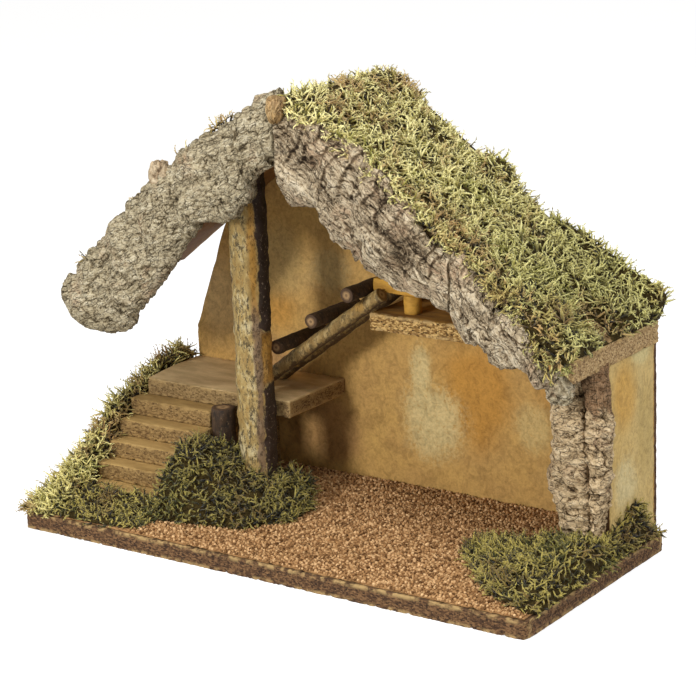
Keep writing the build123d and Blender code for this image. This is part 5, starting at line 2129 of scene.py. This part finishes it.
@dataclass(frozen=True)
class Studio:
    """Camera, floor, world and soft lamps.

    Attributes:
        azimuth: Angle from the front to the camera, in degrees.
        elevation: Angle from the level to the camera, in degrees.
        roll: Turn of the camera about its view, in degrees.
        spot: Place of the camera in metres.
        lens: Its focal length in millimetres.
        ambient: Strength of the light from all round.
        lamp_aim: Height in metres that the lamps face.
    """

    azimuth: float = 35.65
    elevation: float = 15.37
    roll: float = -2.22
    spot: Triple = (0.8717, -1.1914, 0.5438)
    lens: float = 115.34
    ambient: float = 0.42
    lamp_aim: float = 0.15

    def build(self) -> None:
        """Sets the stage."""
        for name in ("Cube", "Light", "Camera"):
            if name in bpy.data.objects:
                bpy.data.objects.remove(bpy.data.objects[name])
        bpy.context.scene.view_settings.view_transform = "Standard"
        self.camera()
        self.world()
        self.floor()
        for light in Light:
            self.lamp(light)

    @staticmethod
    def towards(azimuth: float, elevation: float) -> Array:
        """Direction from the object to a place at an azimuth and a height in degrees."""
        a, e = math.radians(azimuth), math.radians(elevation)
        return np.array([math.sin(a) * math.cos(e), -math.cos(a) * math.cos(e), math.sin(e)])

    @staticmethod
    def aimed(back: Array, spot: Sequence[float], roll: float = 0.0) -> Matrix:
        """Pose of a camera or lamp at a spot.

        Args:
            back: Direction away from what it faces.
            spot: Its place in metres.
            roll: Turn about that direction, in degrees.

        Returns:
            The pose, with the turned directions across and over it as its first two columns.
        """
        right = unit(np.cross(-back, (0.0, 0.0, 1.0)))
        up = np.cross(right, -back)
        cos, sin = math.cos(math.radians(roll)), math.sin(math.radians(roll))
        rows = np.eye(4)
        rows[:3] = np.stack([cos * right + sin * up, -sin * right + cos * up, back, spot], axis=-1)
        return Matrix(rows.tolist())

    def camera(self) -> None:
        """Camera at the fitted place, with its roll."""
        data = bpy.data.cameras.new("camera")
        data.lens, data.sensor_width = self.lens, 36.0
        camera = added("camera", data)
        camera.matrix_world = self.aimed(self.towards(self.azimuth, self.elevation), self.spot, self.roll)
        bpy.context.scene.camera = camera

    @staticmethod
    def seen(tree: bpy.types.NodeTree) -> Socket:
        """1 for rays from the camera, straight or by way of gloss or glass, and 0 for the others."""
        path = tree.nodes.new("ShaderNodeLightPath")
        total = path.outputs["Is Camera Ray"]
        for name in ("Is Glossy Ray", "Is Transmission Ray"):
            larger = tree.nodes.new("ShaderNodeMath")
            larger.operation = "MAXIMUM"
            tree.links.new(total, larger.inputs[0])
            tree.links.new(path.outputs[name], larger.inputs[1])
            total = larger.outputs[0]
        return total

    def world(self) -> None:
        """White for rays from the camera, soft ambient light for the others."""
        world = bpy.data.worlds.new("studio")
        world.use_nodes = True
        bpy.context.scene.world = world
        tree = world.node_tree
        tree.nodes.clear()
        shown, soft = tree.nodes.new("ShaderNodeBackground"), tree.nodes.new("ShaderNodeBackground")
        shown.inputs["Color"].default_value = (1, 1, 1, 1)
        soft.inputs["Color"].default_value = (1, 0.985, 0.96, 1)
        soft.inputs["Strength"].default_value = self.ambient
        mix, out = tree.nodes.new("ShaderNodeMixShader"), tree.nodes.new("ShaderNodeOutputWorld")
        tree.links.new(self.seen(tree), mix.inputs[0])
        tree.links.new(soft.outputs[0], mix.inputs[1])
        tree.links.new(shown.outputs[0], mix.inputs[2])
        tree.links.new(mix.outputs[0], out.inputs["Surface"])

    def floor(self) -> None:
        """Pale floor that glows for the camera, so that only the shadow darkens it."""
        mesh = bpy.data.meshes.new("studio_floor")
        mesh.from_pydata([(-20, -20, 0), (20, -20, 0), (20, 20, 0), (-20, 20, 0)], [], [(0, 1, 2, 3)])
        material = bpy.data.materials.new("studio_floor")
        material.use_nodes = True
        tree = material.node_tree
        tree.nodes.clear()
        matt, glow = tree.nodes.new("ShaderNodeBsdfDiffuse"), tree.nodes.new("ShaderNodeEmission")
        matt.inputs["Color"].default_value = (0.62, 0.62, 0.62, 1)
        tree.links.new(self.seen(tree), glow.inputs["Strength"])
        glow.inputs["Color"].default_value = (0.72, 0.72, 0.72, 1)
        both, out = tree.nodes.new("ShaderNodeAddShader"), tree.nodes.new("ShaderNodeOutputMaterial")
        tree.links.new(matt.outputs[0], both.inputs[0])
        tree.links.new(glow.outputs[0], both.inputs[1])
        tree.links.new(both.outputs[0], out.inputs["Surface"])
        mesh.materials.append(material)
        floor = added("studio_floor", mesh)

    def lamp(self, light: Light) -> None:
        """Square area lamp that faces the stable."""
        azimuth, elevation, distance, width, power = light.value
        data = bpy.data.lights.new(f"lamp_{light.name.lower()}", "AREA")
        data.shape, data.size, data.energy = "SQUARE", width, power
        lamp = added(data.name, data)
        back = self.towards(azimuth, elevation)
        lamp.matrix_world = self.aimed(back, back * distance + np.array([0, 0, self.lamp_aim]))


def dress_metal() -> None:
    """Gives the nails and brads, which stay as they are in the CAD, their steel."""
    for node in ("back_panel_brads", "roof_brads", "base_nails"):
        piece = bpy.data.objects[node]
        piece.data.materials.clear()
        piece.data.materials.append(WireSteel().material())


def main() -> None:
    """Builds the stable and its studio."""
    logging.basicConfig(level=logging.INFO, format="%(name)s %(message)s")
    Studio().build()
    for part in (Groundwork(), Stair(), Walls(), Roof(), Loft(), Timber(), BarkWork(), MossWork()):
        part.build()
    dress_metal()


if __name__ == "__main__":
    main()
